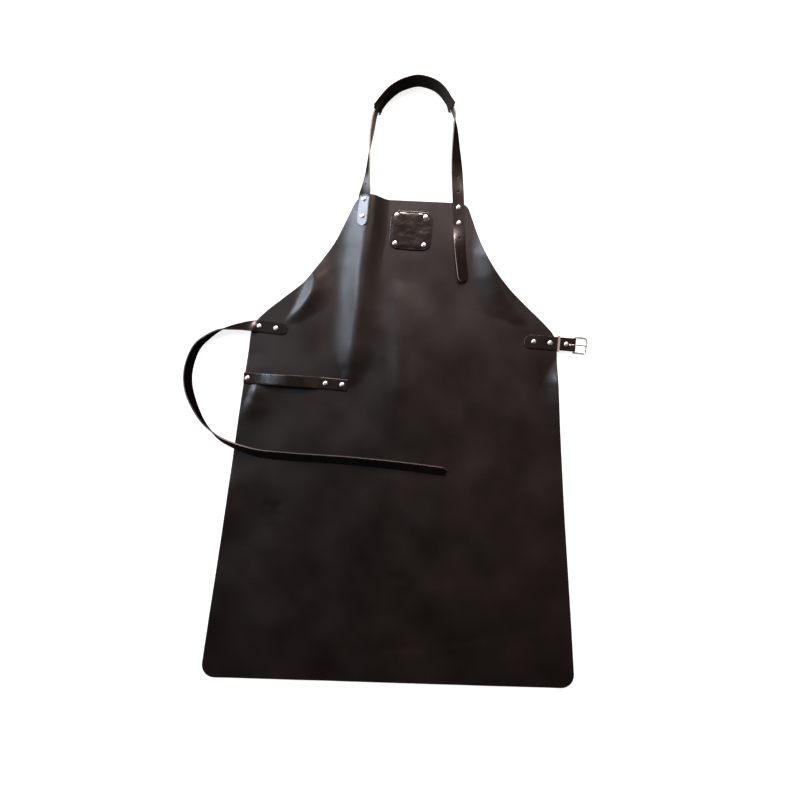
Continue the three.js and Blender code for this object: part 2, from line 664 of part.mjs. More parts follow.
function tabSolid() {
  const outerZ = LAYER_GAP / 2 + STRAP_THICK;
  const innerZ = LAYER_GAP / 2;
  const outerTurn = Math.PI - Math.asin(outerZ / EYE_OUTER);
  const innerTurn = Math.PI - Math.asin(innerZ / EYE_INNER);
  const profile = new THREE.Shape();
  profile.moveTo(TAB_TIP, innerZ);
  profile.lineTo(BAR_X + EYE_INNER * Math.cos(innerTurn), innerZ);
  profile.absarc(BAR_X, 0, EYE_INNER, innerTurn, -innerTurn, true);
  profile.lineTo(TAB_BACK_END, -innerZ);
  profile.lineTo(TAB_BACK_END, -outerZ);
  profile.lineTo(BAR_X + EYE_OUTER * Math.cos(outerTurn), -outerZ);
  profile.absarc(BAR_X, 0, EYE_OUTER, -outerTurn, outerTurn, false);
  profile.lineTo(TAB_TIP, outerZ);
  profile.closePath();
  const strip = new THREE.ExtrudeGeometry(profile, {
    depth: TAB.width,
    curveSegments: 14,
    bevelEnabled: false,
  });
  strip.applyMatrix4(
    new THREE.Matrix4()
      .makeBasis(new THREE.Vector3(1, 0, 0), UP, new THREE.Vector3(0, -1, 0))
      .setPosition(0, TAB.width / 2, BAR_Z),
  );
  const plan = new THREE.Shape();
  const half = TAB.width / 2;
  const far = BAR_X + 2 * EYE_OUTER;
  plan.moveTo(TAB_TIP + half, -half);
  plan.lineTo(far, -half);
  plan.lineTo(far, half);
  plan.lineTo(TAB_TIP + half, half);
  plan.absarc(TAB_TIP + half, 0, half, Math.PI / 2, (3 * Math.PI) / 2, false);
  const outline = new THREE.ExtrudeGeometry(plan, {
    depth: 4 * EYE_OUTER,
    curveSegments: 12,
    bevelEnabled: false,
  });
  outline.translate(0, 0, BAR_Z - 2 * EYE_OUTER);
  const slot = new THREE.BoxGeometry(far - SLOT_FROM, 2 * SLOT_HALF, 4 * EYE_OUTER);
  slot.translate((far + SLOT_FROM) / 2, 0, BAR_Z);
  return solidOf(strip).intersect(solidOf(outline)).subtract(solidOf(slot));
}

let tab = tabSolid();
const tabTop = TAB_FACE + STRAP_THICK;
const tabGrips = [
  { name: "tab_rivet_inner", at: TAB_RIVETS[0], grip: STRAP_THICK + GAP + BODY_THICK, apron: true },
  { name: "tab_rivet_mid", at: TAB_RIVETS[1], grip: STRAP_THICK + GAP + BODY_THICK, apron: true },
  { name: "tab_rivet_outer", at: TAB_RIVETS[2], grip: 2 * STRAP_THICK + LAYER_GAP, apron: false },
];
for (const rivet of tabGrips) {
  const top = new THREE.Vector3(rivet.at, 0, tabTop);
  const radius = POST_RADIUS + POST_CLEARANCE;
  tab = tab.subtract(drill(top, UP, radius, 4 * rivet.grip));
  const placed = top.clone().applyMatrix4(tabGroup.matrix);
  if (rivet.apron) bodyDrills.push(drill(placed, UP, radius, 4 * rivet.grip));
  addMesh(tabGroup, rivet.name, rivetSolid(top, UP, rivet.grip), finishes.nickel);
}
addMesh(tabGroup, "buckle_tab", tab, finishes.strapLeather);

// Keeper: a rectangular ring, extruded along the tab
function keeperSolid() {
  const inHalf = TAB.width / 2 + KEEPER.slack;
  const inLow = KEEPER.low + KEEPER.thick;
  const inHigh = tabTop + KEEPER.room;
  const ring = new THREE.Shape();
  const outHalf = inHalf + KEEPER.thick;
  const chamfer = KEEPER.thick * 0.6;
  const outHigh = inHigh + KEEPER.thick;
  ring.moveTo(-outHalf + chamfer, KEEPER.low);
  ring.lineTo(outHalf - chamfer, KEEPER.low);
  ring.lineTo(outHalf, KEEPER.low + chamfer);
  ring.lineTo(outHalf, outHigh - chamfer);
  ring.lineTo(outHalf - chamfer, outHigh);
  ring.lineTo(-outHalf + chamfer, outHigh);
  ring.lineTo(-outHalf, outHigh - chamfer);
  ring.lineTo(-outHalf, KEEPER.low + chamfer);
  ring.closePath();
  const hole = new THREE.Path();
  hole.moveTo(-inHalf, inLow);
  hole.lineTo(-inHalf, inHigh);
  hole.lineTo(inHalf, inHigh);
  hole.lineTo(inHalf, inLow);
  hole.closePath();
  ring.holes.push(hole);
  const band = new THREE.ExtrudeGeometry(ring, { depth: KEEPER.band, bevelEnabled: false });
  band.applyMatrix4(
    new THREE.Matrix4()
      .makeBasis(new THREE.Vector3(0, 1, 0), UP, new THREE.Vector3(1, 0, 0))
      .setPosition(KEEPER.x, 0, 0),
  );
  return solidOf(band);
}
addMesh(tabGroup, "keeper", keeperSolid(), finishes.nickel);

// Buckle: its bar is the group's origin, and its outer bar lies on the floor
const buckleGroup = new THREE.Group();
buckleGroup.position.set(BAR_X, 0, BAR_Z);
buckleGroup.rotation.y = FRAME_TILT;
tabGroup.add(buckleGroup);

// Corners of the wire's centre line, each with the middle of its arc and the direction it starts in
function frameStops() {
  const corners = [
    { x: 0, y: -FRAME_HALF, inX: 1, inY: 1, radius: HEEL_CORNER, from: 180 },
    { x: FRAME_REACH, y: -FRAME_HALF, inX: -1, inY: 1, radius: OUTER_CORNER, from: 270 },
    { x: FRAME_REACH, y: FRAME_HALF, inX: -1, inY: -1, radius: OUTER_CORNER, from: 0 },
    { x: 0, y: FRAME_HALF, inX: 1, inY: -1, radius: HEEL_CORNER, from: 90 },
  ];
  const stops = [];
  for (const corner of corners) {
    for (let i = 0; i <= CORNER_STEPS; i += 1) {
      const angle = radians(corner.from + (90 * i) / CORNER_STEPS);
      const out = new THREE.Vector3(Math.cos(angle), Math.sin(angle), 0);
      const centre = new THREE.Vector3(
        corner.x + corner.inX * corner.radius,
        corner.y + corner.inY * corner.radius,
        0,
      );
      stops.push({ point: centre.addScaledVector(out, corner.radius), out });
    }
  }
  return stops;
}

function frameSolid() {
  const stops = frameStops();
  const ringRadius = 4 * BAR_RADIUS;
  const ring = new THREE.TorusGeometry(ringRadius, BAR_RADIUS, WIRE_SIDES, stops.length);
  reshape(ring, (v) => {
    const turn = Math.atan2(v.y, v.x) / (2 * Math.PI);
    const i = Math.round((turn + 1) * stops.length) % stops.length;
    const off = Math.hypot(v.x, v.y) - ringRadius;
    return stops[i].point.clone().addScaledVector(stops[i].out, off).addScaledVector(UP, v.z);
  });
  return solidOf(ring);
}
addMesh(buckleGroup, "buckle_frame", frameSolid(), finishes.nickel);

// Prong: a ring round the bar, with a rod that reaches just past the outer bar
function prongSolid() {
  const ring = new THREE.TorusGeometry(PRONG_RING, PRONG_RADIUS, WIRE_SIDES, 14);
  ring.rotateX(Math.PI / 2);
  const reach = FRAME_REACH + PRONG_PAST_BAR;
  const rod = new THREE.LatheGeometry(
    [
      new THREE.Vector2(0, 0),
      new THREE.Vector2(PRONG_RADIUS, 0),
      new THREE.Vector2(PRONG_RADIUS, reach - PRONG_RADIUS),
      new THREE.Vector2(PRONG_RADIUS * 0.7, reach - PRONG_RADIUS * 0.3),
      new THREE.Vector2(0, reach),
    ],
    WIRE_SIDES,
  );
  rod.rotateZ(-Math.PI / 2);
  rod.translate(0, 0, PRONG_RING);
  return solidOf(ring).add(solidOf(rod));
}
addMesh(buckleGroup, "buckle_prong", prongSolid(), finishes.nickel);

// Apron body: a sheet whose rows run from the hem to the bib's top edge
function bodyRows() {
  const rows = [];
  const arc = (i) => 1 - Math.cos((i / CORNER_STEPS) * (Math.PI / 2));
  for (let i = 0; i < CORNER_STEPS; i += 1) rows.push(HEM_Y + HEM_CORNER * arc(i));
  const from = HEM_Y + HEM_CORNER;
  const to = TOP_Y - BIB_CORNER;
  const count = Math.ceil((to - from) / BODY_ROW_STEP);
  for (let i = 0; i <= count; i += 1) rows.push(from + ((to - from) * i) / count);
  for (let i = CORNER_STEPS - 1; i >= 0; i -= 1) rows.push(TOP_Y - BIB_CORNER * arc(i));
  return rows;
}

function bodySolid() {
  const rows = bodyRows();
  const spans = rows.length - 1;
  const sheet = new THREE.BoxGeometry(1, 1, 1, BODY_COLUMNS, spans, 1);
  reshape(sheet, (v) => {
    const row = rows[Math.round((v.y + 0.5) * spans)];
    const x = THREE.MathUtils.lerp(edgeAt("left", row), edgeAt("right", row), v.x + 0.5);
    const skew = HEM_SKEW * x * (1 - ease((row - HEM_Y) / HEM_SKEW_REACH));
    const pull = 1 - ease(Math.abs(x - TOP_RISE.x) / TOP_RISE.reach);
    const lift = TOP_RISE.height * pull * (1 - ease((TOP_Y - row) / TOP_RISE.down));
    const y = row + skew + lift;
    return new THREE.Vector3(x, y, v.z > 0 ? face(x, y) : underside(x, y));
  });
  return solidOf(sheet);
}

let body = bodySolid();
for (const hole of bodyDrills) body = body.subtract(hole);
addMesh(apron, "apron_body", body, finishes.bodyLeather);

export default apron;
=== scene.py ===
# %% [markdown]
# # A leather work apron, laid out on a pale floor
# The apron is one big sheet of dark leather with straps, a buckle and a badge riveted on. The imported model
# gives every piece its place and its body. This lesson keeps those places and makes each piece as it is in
# leather and nickel: sheets are grids that get their thickness from Solidify, metal is spun or swept.

# %% The frame
import math

import bpy
import numpy as np
from mathutils import Matrix, Vector, noise


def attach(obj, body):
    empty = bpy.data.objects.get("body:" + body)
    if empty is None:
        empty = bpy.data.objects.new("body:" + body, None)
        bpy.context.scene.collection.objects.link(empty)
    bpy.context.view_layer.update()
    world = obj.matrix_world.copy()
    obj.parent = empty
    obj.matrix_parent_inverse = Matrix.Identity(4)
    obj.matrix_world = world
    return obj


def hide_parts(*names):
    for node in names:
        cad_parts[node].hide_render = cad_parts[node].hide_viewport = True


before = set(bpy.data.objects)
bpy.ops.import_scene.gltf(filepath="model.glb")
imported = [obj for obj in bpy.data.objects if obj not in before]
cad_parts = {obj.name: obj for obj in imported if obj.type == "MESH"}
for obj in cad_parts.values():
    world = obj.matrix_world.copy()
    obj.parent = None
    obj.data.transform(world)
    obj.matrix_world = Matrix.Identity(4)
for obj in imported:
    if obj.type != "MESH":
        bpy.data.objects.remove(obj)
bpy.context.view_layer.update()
MM = 0.001

# %% [markdown]
# ## Small helpers
# Colours are written as hex codes, but shaders want linear values. What is made many times over, a node, a
# material, a primitive mesh or a matrix in millimetres, gets one short function.


# %% Colours, nodes, materials, primitives and matrices
def linear(hex_colour):
    """An sRGB hex colour as linear red, green, blue and alpha."""
    parts = [int(hex_colour[i:i + 2], 16) / 255 for i in (1, 3, 5)]
    return tuple(p / 12.92 if p <= 0.04045 else ((p + 0.055) / 1.055) ** 2.4 for p in parts) + (1.0,)


def add_node(tree, kind, inputs=None, **settings):
    """A shader node with its settings, its values and its links from other sockets."""
    made = tree.nodes.new("ShaderNode" + kind)
    for name, value in settings.items():
        setattr(made, name, value)
    for socket, value in (inputs or {}).items():
        if isinstance(value, bpy.types.NodeSocket):
            tree.links.new(value, made.inputs[socket])
        else:
            made.inputs[socket].default_value = value
    return made


def new_material(name, values):
    """A material whose Principled BSDF has these values."""
    material = bpy.data.materials.new(name)
    material.use_nodes = True
    for socket, value in values.items():
        material.node_tree.nodes["Principled BSDF"].inputs[socket].default_value = value
    return material


def feed(material, socket, output):
    """Links a node's output into the material's Principled BSDF."""
    tree = material.node_tree
    tree.links.new(output, tree.nodes["Principled BSDF"].inputs[socket])


def mode(name):
    """Goes to Edit or Object mode."""
    bpy.ops.object.mode_set(mode=name)


def primitive(kind, name, **options):
    """Adds a primitive mesh, alone in the selection, and names it."""
    bpy.ops.object.select_all(action="DESELECT")
    getattr(bpy.ops.mesh, "primitive_" + kind + "_add")(**options)
    made = bpy.context.object
    made.name = made.data.name = name
    return made


def shift(x, y, z):
    """A matrix that moves a mesh by millimetres."""
    return Matrix.Translation((x * MM, y * MM, z * MM))


def stretch(x, y, z):
    """A matrix that gives a unit mesh its sides in millimetres."""
    return Matrix.Diagonal((x * MM, y * MM, z * MM, 1))


def stand(spot, axis):
    """A matrix that moves a mesh to a spot in millimetres and turns its +Z along an axis."""
    return shift(*spot) @ Vector(axis).to_track_quat("Z", "Y").to_matrix().to_4x4()


# %% [markdown]
# ## Camera, floor and light
# The apron was photographed straight from above, turned a little, so the camera hangs over it and looks down.
# Leather this dark shows its shape only through what it mirrors. A large soft box beyond the neck gives the
# hide its low sheen, a bluish window lights slopes that lean to the upper left, and a wide, weak lamp warms
# those on the right. A pale wall far to the left shows only in a strap that leans steeply. The floor is kept
# out of mirrored light, so a strap on edge stays dark beside the white paper.

# %% Camera
CAMERA_HEIGHT = 1750 * MM
CAMERA_FOOT = (-0.5 * MM, 87.6 * MM)
CAMERA_TURN = 2.6
LENS, SENSOR = 45, 36

camera_data = bpy.data.cameras.new("camera")
camera_data.lens = LENS
camera_data.sensor_width = SENSOR
camera = bpy.data.objects.new("camera", camera_data)
camera.location = (*CAMERA_FOOT, CAMERA_HEIGHT)
camera.rotation_euler = (0, 0, math.radians(CAMERA_TURN))
bpy.context.collection.objects.link(camera)
bpy.context.scene.camera = camera
bpy.context.scene.view_settings.view_transform = "Standard"
bpy.context.scene.view_settings.look = "None"
print("camera at", tuple(camera.location))

# %% Floor
FLOOR_SIZE = 14
FLOOR_DROP = 0.2 * MM

floor = primitive("plane", "floor", size=FLOOR_SIZE, location=(0, 0, -FLOOR_DROP))
paper = new_material("white_paper_floor", {
    "Base Color": linear("#a0a0a0"), "Roughness": 0.9, "Specular IOR Level": 0.2,
    "Emission Color": linear("#ffffff"), "Emission Strength": 0.84})
floor.data.materials.append(paper)
floor.visible_glossy = False
print("floor", FLOOR_SIZE, "m wide")

# %% Lights
LIGHTS_FACE = Vector((0, 100 * MM, 0))


def soft_box(name, direction, distance, size, power, colour):
    """An area light in a direction from the apron's middle, facing it."""
    data = bpy.data.lights.new(name, "AREA")
    data.shape = "RECTANGLE"
    data.size, data.size_y = size
    data.energy = power
    data.color = linear(colour)[:3]
    light = bpy.data.objects.new(name, data)
    towards = Vector(direction).normalized()
    light.location = LIGHTS_FACE + towards * distance
    light.rotation_mode = "QUATERNION"
    light.rotation_quaternion = towards.to_track_quat("Z", "Y")
    bpy.context.collection.objects.link(light)
    print(name, power, "W")


soft_box("top_box", (0.05, 0.84, 0.85), distance=2.8, size=(1.2, 1.0), power=165, colour="#ffe6de")
soft_box("window", (-0.538, 0.29, 0.79), distance=2.8, size=(0.6, 0.6), power=34, colour="#e4efff")
soft_box("warm_lamp", (0.6, -0.03, 0.8), distance=2.6, size=(1.2, 1.2), power=2.7, colour="#ffe6d2")

# %% A dark room with one pale wall
WALL = {"From Min": -0.66, "From Max": -1.0, "To Min": 0.01, "To Max": 6.2}
WALL_TINT = "#e6ecf6"

world = bpy.data.worlds.new("studio")
bpy.context.scene.world = world
world.use_nodes = True
room = world.node_tree
direction = add_node(room, "SeparateXYZ", {0: add_node(room, "TexCoord").outputs["Generated"]})
wall = add_node(room, "MapRange", {"Value": direction.outputs["X"], **WALL})
room.links.new(wall.outputs["Result"], room.nodes["Background"].inputs["Strength"])
room.nodes["Background"].inputs["Color"].default_value = linear(WALL_TINT)
print("wall brightness", WALL["To Max"])

# %% [markdown]
# ## Leather and nickel
# Full-grain leather has a skin of small pebbles with fine pores, a suede back and a cut edge of its own tone.
# Its grain is drawn in Object coordinates, so it keeps its size in millimetres on every piece. The straps are
# the same hide, firmer and polished, and the metal is nickel plate.

# %% One leather recipe for every grain side
GRAIN_TONES = (0.3, 0.75)
FIBRE_TONES = (0.35, 0.7)
SHEEN_SPREAD = 0.05
PER_METRE = 1000
PORES_PER_PEBBLE = 2.5
NAP_DEPTH = 0.2


def two_tones(tree, factor, dark, light, ends):
    """A colour that runs from dark to light while the factor runs between two ends."""
    ramp = add_node(tree, "ValToRGB", {0: factor})
    for stop, end, tone in zip(ramp.color_ramp.elements, ends, (dark, light)):
        stop.position = end
        stop.color = linear(tone)
    return ramp.outputs["Color"]


def speckle(tree, size, detail):
    """Noise of a size in millimetres."""
    place = add_node(tree, "TexCoord").outputs["Object"]
    inputs = {"Vector": place, "Scale": PER_METRE / size, "Detail": detail}
    return add_node(tree, "TexNoise", inputs).outputs["Fac"]


def emboss(material, height, strength, depth):
    """A bump map, its depth in millimetres."""
    inputs = {"Height": height, "Strength": strength, "Distance": depth * MM}
    feed(material, "Normal", add_node(material.node_tree, "Bump", inputs).outputs["Normal"])


def leather(name, dark, light, rough, pebble, bump, patch, coat=0.0, shine=0.5):
    """Full-grain leather: two tones in soft patches and a pebbled grain, sized in millimetres, under wax."""
    material = new_material(name, {
        "IOR": 1.5, "Specular IOR Level": shine, "Coat Weight": coat, "Coat Roughness": 0.12})
    tree = material.node_tree
    patches = speckle(tree, patch, 4.0)
    feed(material, "Base Color", two_tones(tree, patches, dark, light, GRAIN_TONES))
    sheen = add_node(tree, "MapRange", {
        "Value": patches, "From Min": 0.25, "From Max": 0.75,
        "To Min": rough - SHEEN_SPREAD, "To Max": rough + SHEEN_SPREAD})
    feed(material, "Roughness", sheen.outputs["Result"])
    place = add_node(tree, "TexCoord").outputs["Object"]
    pebbles = add_node(tree, "TexVoronoi", {
        "Vector": place, "Scale": PER_METRE / pebble, "Randomness": 0.9}, feature="SMOOTH_F1")
    pores = speckle(tree, pebble / PORES_PER_PEBBLE, 3.0)
    skin = add_node(tree, "Math", {0: pebbles.outputs["Distance"], 1: pores}, operation="ADD")
    emboss(material, skin.outputs["Value"], 0.6, bump)
    return material


def plain_leather(name, dark, light, rough, fibre, shine):
    """The suede back or the cut edge of a hide: fibres in two close tones."""
    material = new_material(name, {"Roughness": rough, "Specular IOR Level": shine})
    fibres = speckle(material.node_tree, fibre, 5.0)
    feed(material, "Base Color", two_tones(material.node_tree, fibres, dark, light, FIBRE_TONES))
    emboss(material, fibres, 0.5, NAP_DEPTH)
    return material


# %% The hides
# Smooth apron hide: near black with a brown cast and a low, wide sheen
apron_grain = leather(
    "smooth_apron_leather", "#090503", "#0f0806",
    rough=0.345, pebble=1.2, bump=0.04, patch=90)
apron_back = plain_leather("apron_suede_back", "#3a2c25", "#4a3a31", rough=0.95, fibre=0.8, shine=0.15)
apron_edge = plain_leather("apron_cut_edge", "#1c1512", "#2c221d", rough=0.7, fibre=0.6, shine=0.3)
# Strap hide: firmer and polished, with a dyed edge and a near-black back, painted shade for a back that stands
# in shade
strap_grain = leather(
    "polished_strap_leather", "#0e0908", "#15100d",
    rough=0.28, pebble=2.5, bump=0.08, patch=40, shine=0.4)
# Near-black back: painted shade that keeps the backs of straps standing on edge, and the holes' floors, dark
painted_shade_back = plain_leather("strap_back_painted_shade", "#040303", "#070504", rough=0.95, fibre=0.7, shine=0.0)
dyed_edge = plain_leather("strap_dyed_cut_edge", "#242221", "#343130", rough=0.45, fibre=0.5, shine=0.4)
# Neck strap hide: waxed, with a brown back and a pale edge that shows where the strap stands on edge
neck_grain = leather(
    "waxed_neck_strap_leather", "#100b09", "#18110e",
    rough=0.3, pebble=2.5, bump=0.06, patch=40, coat=0.4, shine=0.4)
neck_back = plain_leather("strap_brown_back", "#4a3f39", "#6a5c54", rough=0.9, fibre=0.7, shine=0.1)
strap_edge = plain_leather("strap_pale_cut_edge", "#6e6964", "#8e8882", rough=0.3, fibre=0.5, shine=0.5)
# Pad hide: thin, soft and matte
pad_grain = leather(
    "soft_pad_leather", "#0f0805", "#170d08",
    rough=0.7, pebble=1.6, bump=0.12, patch=25, shine=0.2)
# Badge hide: glossy under a coat of wax
badge_grain = leather(
    "glossy_badge_leather", "#120d0b", "#1b1411",
    rough=0.26, pebble=3.0, bump=0.06, patch=20, coat=0.8)
print("materials", len(bpy.data.materials))

# %% Nickel
HANDLING_MM = 1.5

nickel = new_material("nickel_plate", {"Base Color": linear("#d2cec9"), "Metallic": 1.0})
handling = speckle(nickel.node_tree, HANDLING_MM, 3.0)
polish = add_node(nickel.node_tree, "MapRange", {"Value": handling, "To Min": 0.30, "To Max": 0.44})
feed(nickel, "Roughness", polish.outputs["Result"])

# %% [markdown]
# ## The lie of the apron
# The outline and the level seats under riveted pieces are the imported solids' own. The folds run where theirs
# do, with crests drawn more finely, because dark leather mirrors every kink. Reading them all as height
# functions lets the sheet and every strap that lies on it share one ground.

# %% Tables of the sheet, in millimetres
HEM_Y, TOP_Y = -407, 436
OUTLINE = [  # height, left edge, right edge
    (HEM_Y, -328, 327.5), (-250, -311, 311.8), (-100, -295, 295.8), (60, -279.6, 280.4),
    (160, -269, 270.8), (196, -265.6, 267.9), (212, -259, 262.5), (230, -243, 246.5),
    (260, -208, 213.5), (290, -173.8, 181), (320, -151.6, 155.8), (360, -125.2, 131.5),
    (400, -106.5, 114.8), (TOP_Y, -90, 101),
]
HEM_CORNER, BIB_CORNER = 25, 13
HEM_SKEW, HEM_SKEW_REACH = 0.014, 200
TOP_RISE = {"x": -68, "height": 7, "reach": 34, "down": 70}
BODY_THICK = 2.0
FOLDS = [  # crest from top to bottom as x, y, height and foot on its left; foot on its right
    # Ridge down the left of the bib
    ([(-64.5, 440, 10.7, 66), (-66, 386, 10.7, 66), (-70.5, 354, 10.7, 62), (-75, 322, 10, 55),
      (-77, 290, 9.2, 48), (-79, 242, 8, 46), (-84, 189, 6, 46), (-87, 152, 5.4, 40),
      (-88, 134, 4.2, 36), (-89, 116, 1.8, 34)], 44),
    # Left armhole
    ([(-162, 312, 4.6, 24), (-158, 291, 4.8, 24), (-160, 273, 4.8, 25), (-169, 255, 4.4, 25),
      (-182, 237, 3.4, 22), (-203, 217, 1.6, 18)], 36),
    # Right armhole
    ([(146, 396, 6, 54), (150, 350, 12, 54), (156, 318, 10, 54), (166, 292, 7.6, 54),
      (180, 268, 5.4, 54), (196, 246, 3.6, 54), (214, 225, 2, 50)], 44),
    # Right side under the tab, left side under the towel loop, middle of the bib
    ([(284, 172, 4, 46), (288, 132, 12, 52), (290, 100, 9, 50), (294, 50, 3, 46)], 30),
    ([(-255, 88, 4, 20), (-258, 78, 3, 20), (-263, 64, 0.8, 20)], 45),
    ([(-14, 260, 1.2, 28), (-6, 175, 1.9, 28), (-4, 110, 1.7, 28)], 25),
    # Left edge of the skirt, twice
    ([(-296, -80, 3, 45), (-300, -130, 2, 45)], 45),
    ([(-318, -310, 2, 45), (-322, -350, 2, 45)], 45),
]
SEATS = [  # x, y, half sizes, fade and height of the level seats
    (40, 400, 70, 58, 60, 1.4), (-234, 203.5, 44, 14, 60, 1.4), (-264, 114, 16, 14, 50, 1.4),
    (-114, 111, 36, 14, 60, 1.4), (246, 199, 44, 18, 80, 2.4),
]
print("folds", len(FOLDS), "seats", len(SEATS))


# %% Curves through tables, and the sheet's edges
def ease(t):
    """A smooth step from 0 to 1."""
    c = np.clip(t, 0.0, 1.0)
    return c * c * (3 - 2 * c)


def smooth_table(places, values):
    """A curve through a table's rows that never overshoots them."""
    places, values = np.asarray(places, float), np.asarray(values, float)
    chords = np.diff(values) / np.diff(places)
    before, after = np.append(chords[:1], chords), np.append(chords, chords[-1:])
    turns = before * after <= 0
    slopes = np.where(turns, 0, 2 * before * after / np.where(turns, 1, before + after))

    def read(at):
        at = np.clip(at, places[0], places[-1])
        i = np.clip(np.searchsorted(places, at) - 1, 0, len(places) - 2)
        span, change = places[i + 1] - places[i], values[i + 1] - values[i]
        t = (at - places[i]) / span
        bend = (1 - t) * (slopes[i] * span - change) - t * (slopes[i + 1] * span - change)
        return values[i] + change * t + t * (1 - t) * bend

    return read


def hermite(t, start, leaving, end, arriving):
    """A cubic from start to end that leaves and arrives with given slopes."""
    share = 3 * t ** 2 - 2 * t ** 3
    slopes = (t ** 3 - 2 * t ** 2 + t) * leaving + (t ** 3 - t ** 2) * arriving
    return (1 - share) * start + share * end + slopes


levels, lefts, rights = zip(*OUTLINE)
left_edge, right_edge = smooth_table(levels, lefts), smooth_table(levels, rights)


def corner_inset(radius, distance):
    """How far a round corner draws an edge in, at a distance from its end."""
    d = np.clip(distance, 0, radius)
    return radius - np.sqrt(radius ** 2 - (radius - d) ** 2)


def corner_stops(radius, steps):
    """Distances from an end for the rows of points in a round corner."""
    return radius * (1 - np.cos(np.linspace(0, np.pi / 2, steps + 1)[:-1]))


def edges_at(y):
    """The sheet's left and right edge at a height up the apron."""
    inset = corner_inset(HEM_CORNER, y - HEM_Y) + corner_inset(BIB_CORNER, TOP_Y - y)
    return left_edge(y) + inset, right_edge(y) - inset


# %% [markdown]
# A fold in thick leather is a ridge with a rounded crest, an even slope and a long soft foot. Each fold is
# measured across its crest, stretch by stretch, and dies away past its two ends. Where folds meet, the higher
# one wins and the valley between them is rounded, as stiff hide would round it.

# %% Heights
FOLD_END = 55
CREST_ROUND, FOOT_ROUND = 0.18, 0.6
BLEND = 2.5
SLOPE_STEP = 0.5


def flank(away):
    """A fold's side, from 1 at its crest to 0 at its foot: rounded crest, even slope, longer rounded foot."""
    near = np.clip(away, 0, CREST_ROUND)
    even = np.clip(away, CREST_ROUND, 1 - FOOT_ROUND) - CREST_ROUND
    far = np.clip(away - 1 + FOOT_ROUND, 0, FOOT_ROUND)
    fallen = near ** 2 / (2 * CREST_ROUND) + even + far - far ** 2 / (2 * FOOT_ROUND)
    return 1 - fallen / (1 - (CREST_ROUND + FOOT_ROUND) / 2)


def higher(a, b):
    """The higher of two heights, rounded where they meet off the floor."""
    soft = np.minimum(np.minimum(a, b), BLEND) + 1e-6
    share = np.clip(0.5 + 0.5 * (a - b) / soft, 0, 1)
    return b + (a - b) * share + soft * share * (1 - share)


def fold_level(x, y, crest, right_foot):
    """Height of one fold: the highest of the straight stretches between its crest's points."""
    level = np.zeros(np.broadcast(x, y).shape)
    for (x0, y0, h0, foot0), (x1, y1, h1, foot1) in zip(crest[:-1], crest[1:]):
        run_x, run_y = x1 - x0, y1 - y0
        length = math.hypot(run_x, run_y)
        along = ((x - x0) * run_x + (y - y0) * run_y) / length
        aside = ((y - y0) * run_x - (x - x0) * run_y) / length
        past = np.maximum(np.maximum(-along, along - length), 0)
        share = np.clip(along / length, 0, 1)
        foot = np.where(aside < 0, foot0 + (foot1 - foot0) * share, right_foot)
        away = np.hypot(aside / foot, past / FOLD_END)
        level = np.maximum(level, (h0 + (h1 - h0) * share) * flank(away))
    return level


def seated(x, y, seat_x, seat_y, half_x, half_y, fade):
    """1 on a seat, falling to 0 over its fade."""
    out = np.hypot(np.maximum(abs(x - seat_x) - half_x, 0), np.maximum(abs(y - seat_y) - half_y, 0))
    return 1 - ease(out / fade)


def underside(x, y):
    """Height of the apron's back over the floor: the highest fold, filled up to the seats."""
    level = np.zeros(np.broadcast(x, y).shape)
    for crest, right_foot in FOLDS:
        level = higher(level, fold_level(x, y, crest, right_foot))
    for *seat, height in SEATS:
        level = np.maximum(level, height * seated(x, y, *seat))
    return level


def face(x, y):
    """Height of the apron's grain side, one leather thickness above its back."""
    d = SLOPE_STEP
    slope_x = (underside(x + d, y) - underside(x - d, y)) / (2 * d)
    slope_y = (underside(x, y + d) - underside(x, y - d)) / (2 * d)
    return underside(x, y) + BODY_THICK * np.sqrt(1 + slope_x ** 2 + slope_y ** 2)


# %% [markdown]
# ## From a grid to leather
# Every leather piece starts as a grid. Its points are put where the piece lies, Solidify gives the thickness,
# cutters punch the holes and a small bevel rounds the cut edges. The three material slots are the grain
# side, the back and the cut edge: Solidify hands them out by its material offsets.

# %% The leather maker
BEVEL_STEPS = 4
SHARP_EDGE = math.radians(50)
LEATHER_SMOOTH = 40


def apply_modifier(piece, kind, **settings):
    """Adds a modifier with its settings and applies it."""
    bpy.ops.object.select_all(action="DESELECT")
    piece.select_set(True)
    bpy.context.view_layer.objects.active = piece
    modifier = piece.modifiers.new(kind, kind)
    for name, value in settings.items():
        setattr(modifier, name, value)
    bpy.ops.object.modifier_apply(modifier=modifier.name)


def smooth(degrees):
    """Shades the selected piece smooth, apart from edges sharper than this."""
    bpy.ops.object.shade_smooth_by_angle(angle=math.radians(degrees))


def grid_piece(name, points):
    """A grid laid out on an array of points, rows by columns, in millimetres."""
    rows, columns = points.shape[0] - 1, points.shape[1] - 1
    piece = primitive("grid", name, x_subdivisions=columns, y_subdivisions=rows, size=1)
    for vertex in piece.data.vertices:
        column = round((vertex.co.x + 0.5) * columns)
        row = round((vertex.co.y + 0.5) * rows)
        vertex.co = points[row, column] * MM
    return piece


def leather_piece(name, points, thickness, round_edge, finishes, cutter=None):
    """Leather from an array of points whose columns run to the right of its rows."""
    piece = grid_piece(name, points)
    for finish in finishes:
        piece.data.materials.append(finish)
    apply_modifier(piece, "SOLIDIFY", thickness=thickness * MM, offset=0, use_even_offset=True,
                   material_offset=1, material_offset_rim=2)
    if cutter is not None:
        apply_modifier(piece, "BOOLEAN", operation="DIFFERENCE", solver="EXACT", object=cutter)
        bpy.data.objects.remove(cutter)
    apply_modifier(piece, "BEVEL", width=round_edge * MM, segments=BEVEL_STEPS,
                   limit_method="ANGLE", angle_limit=SHARP_EDGE)
    smooth(LEATHER_SMOOTH)
    print(name, len(piece.data.polygons), "faces")
    return piece


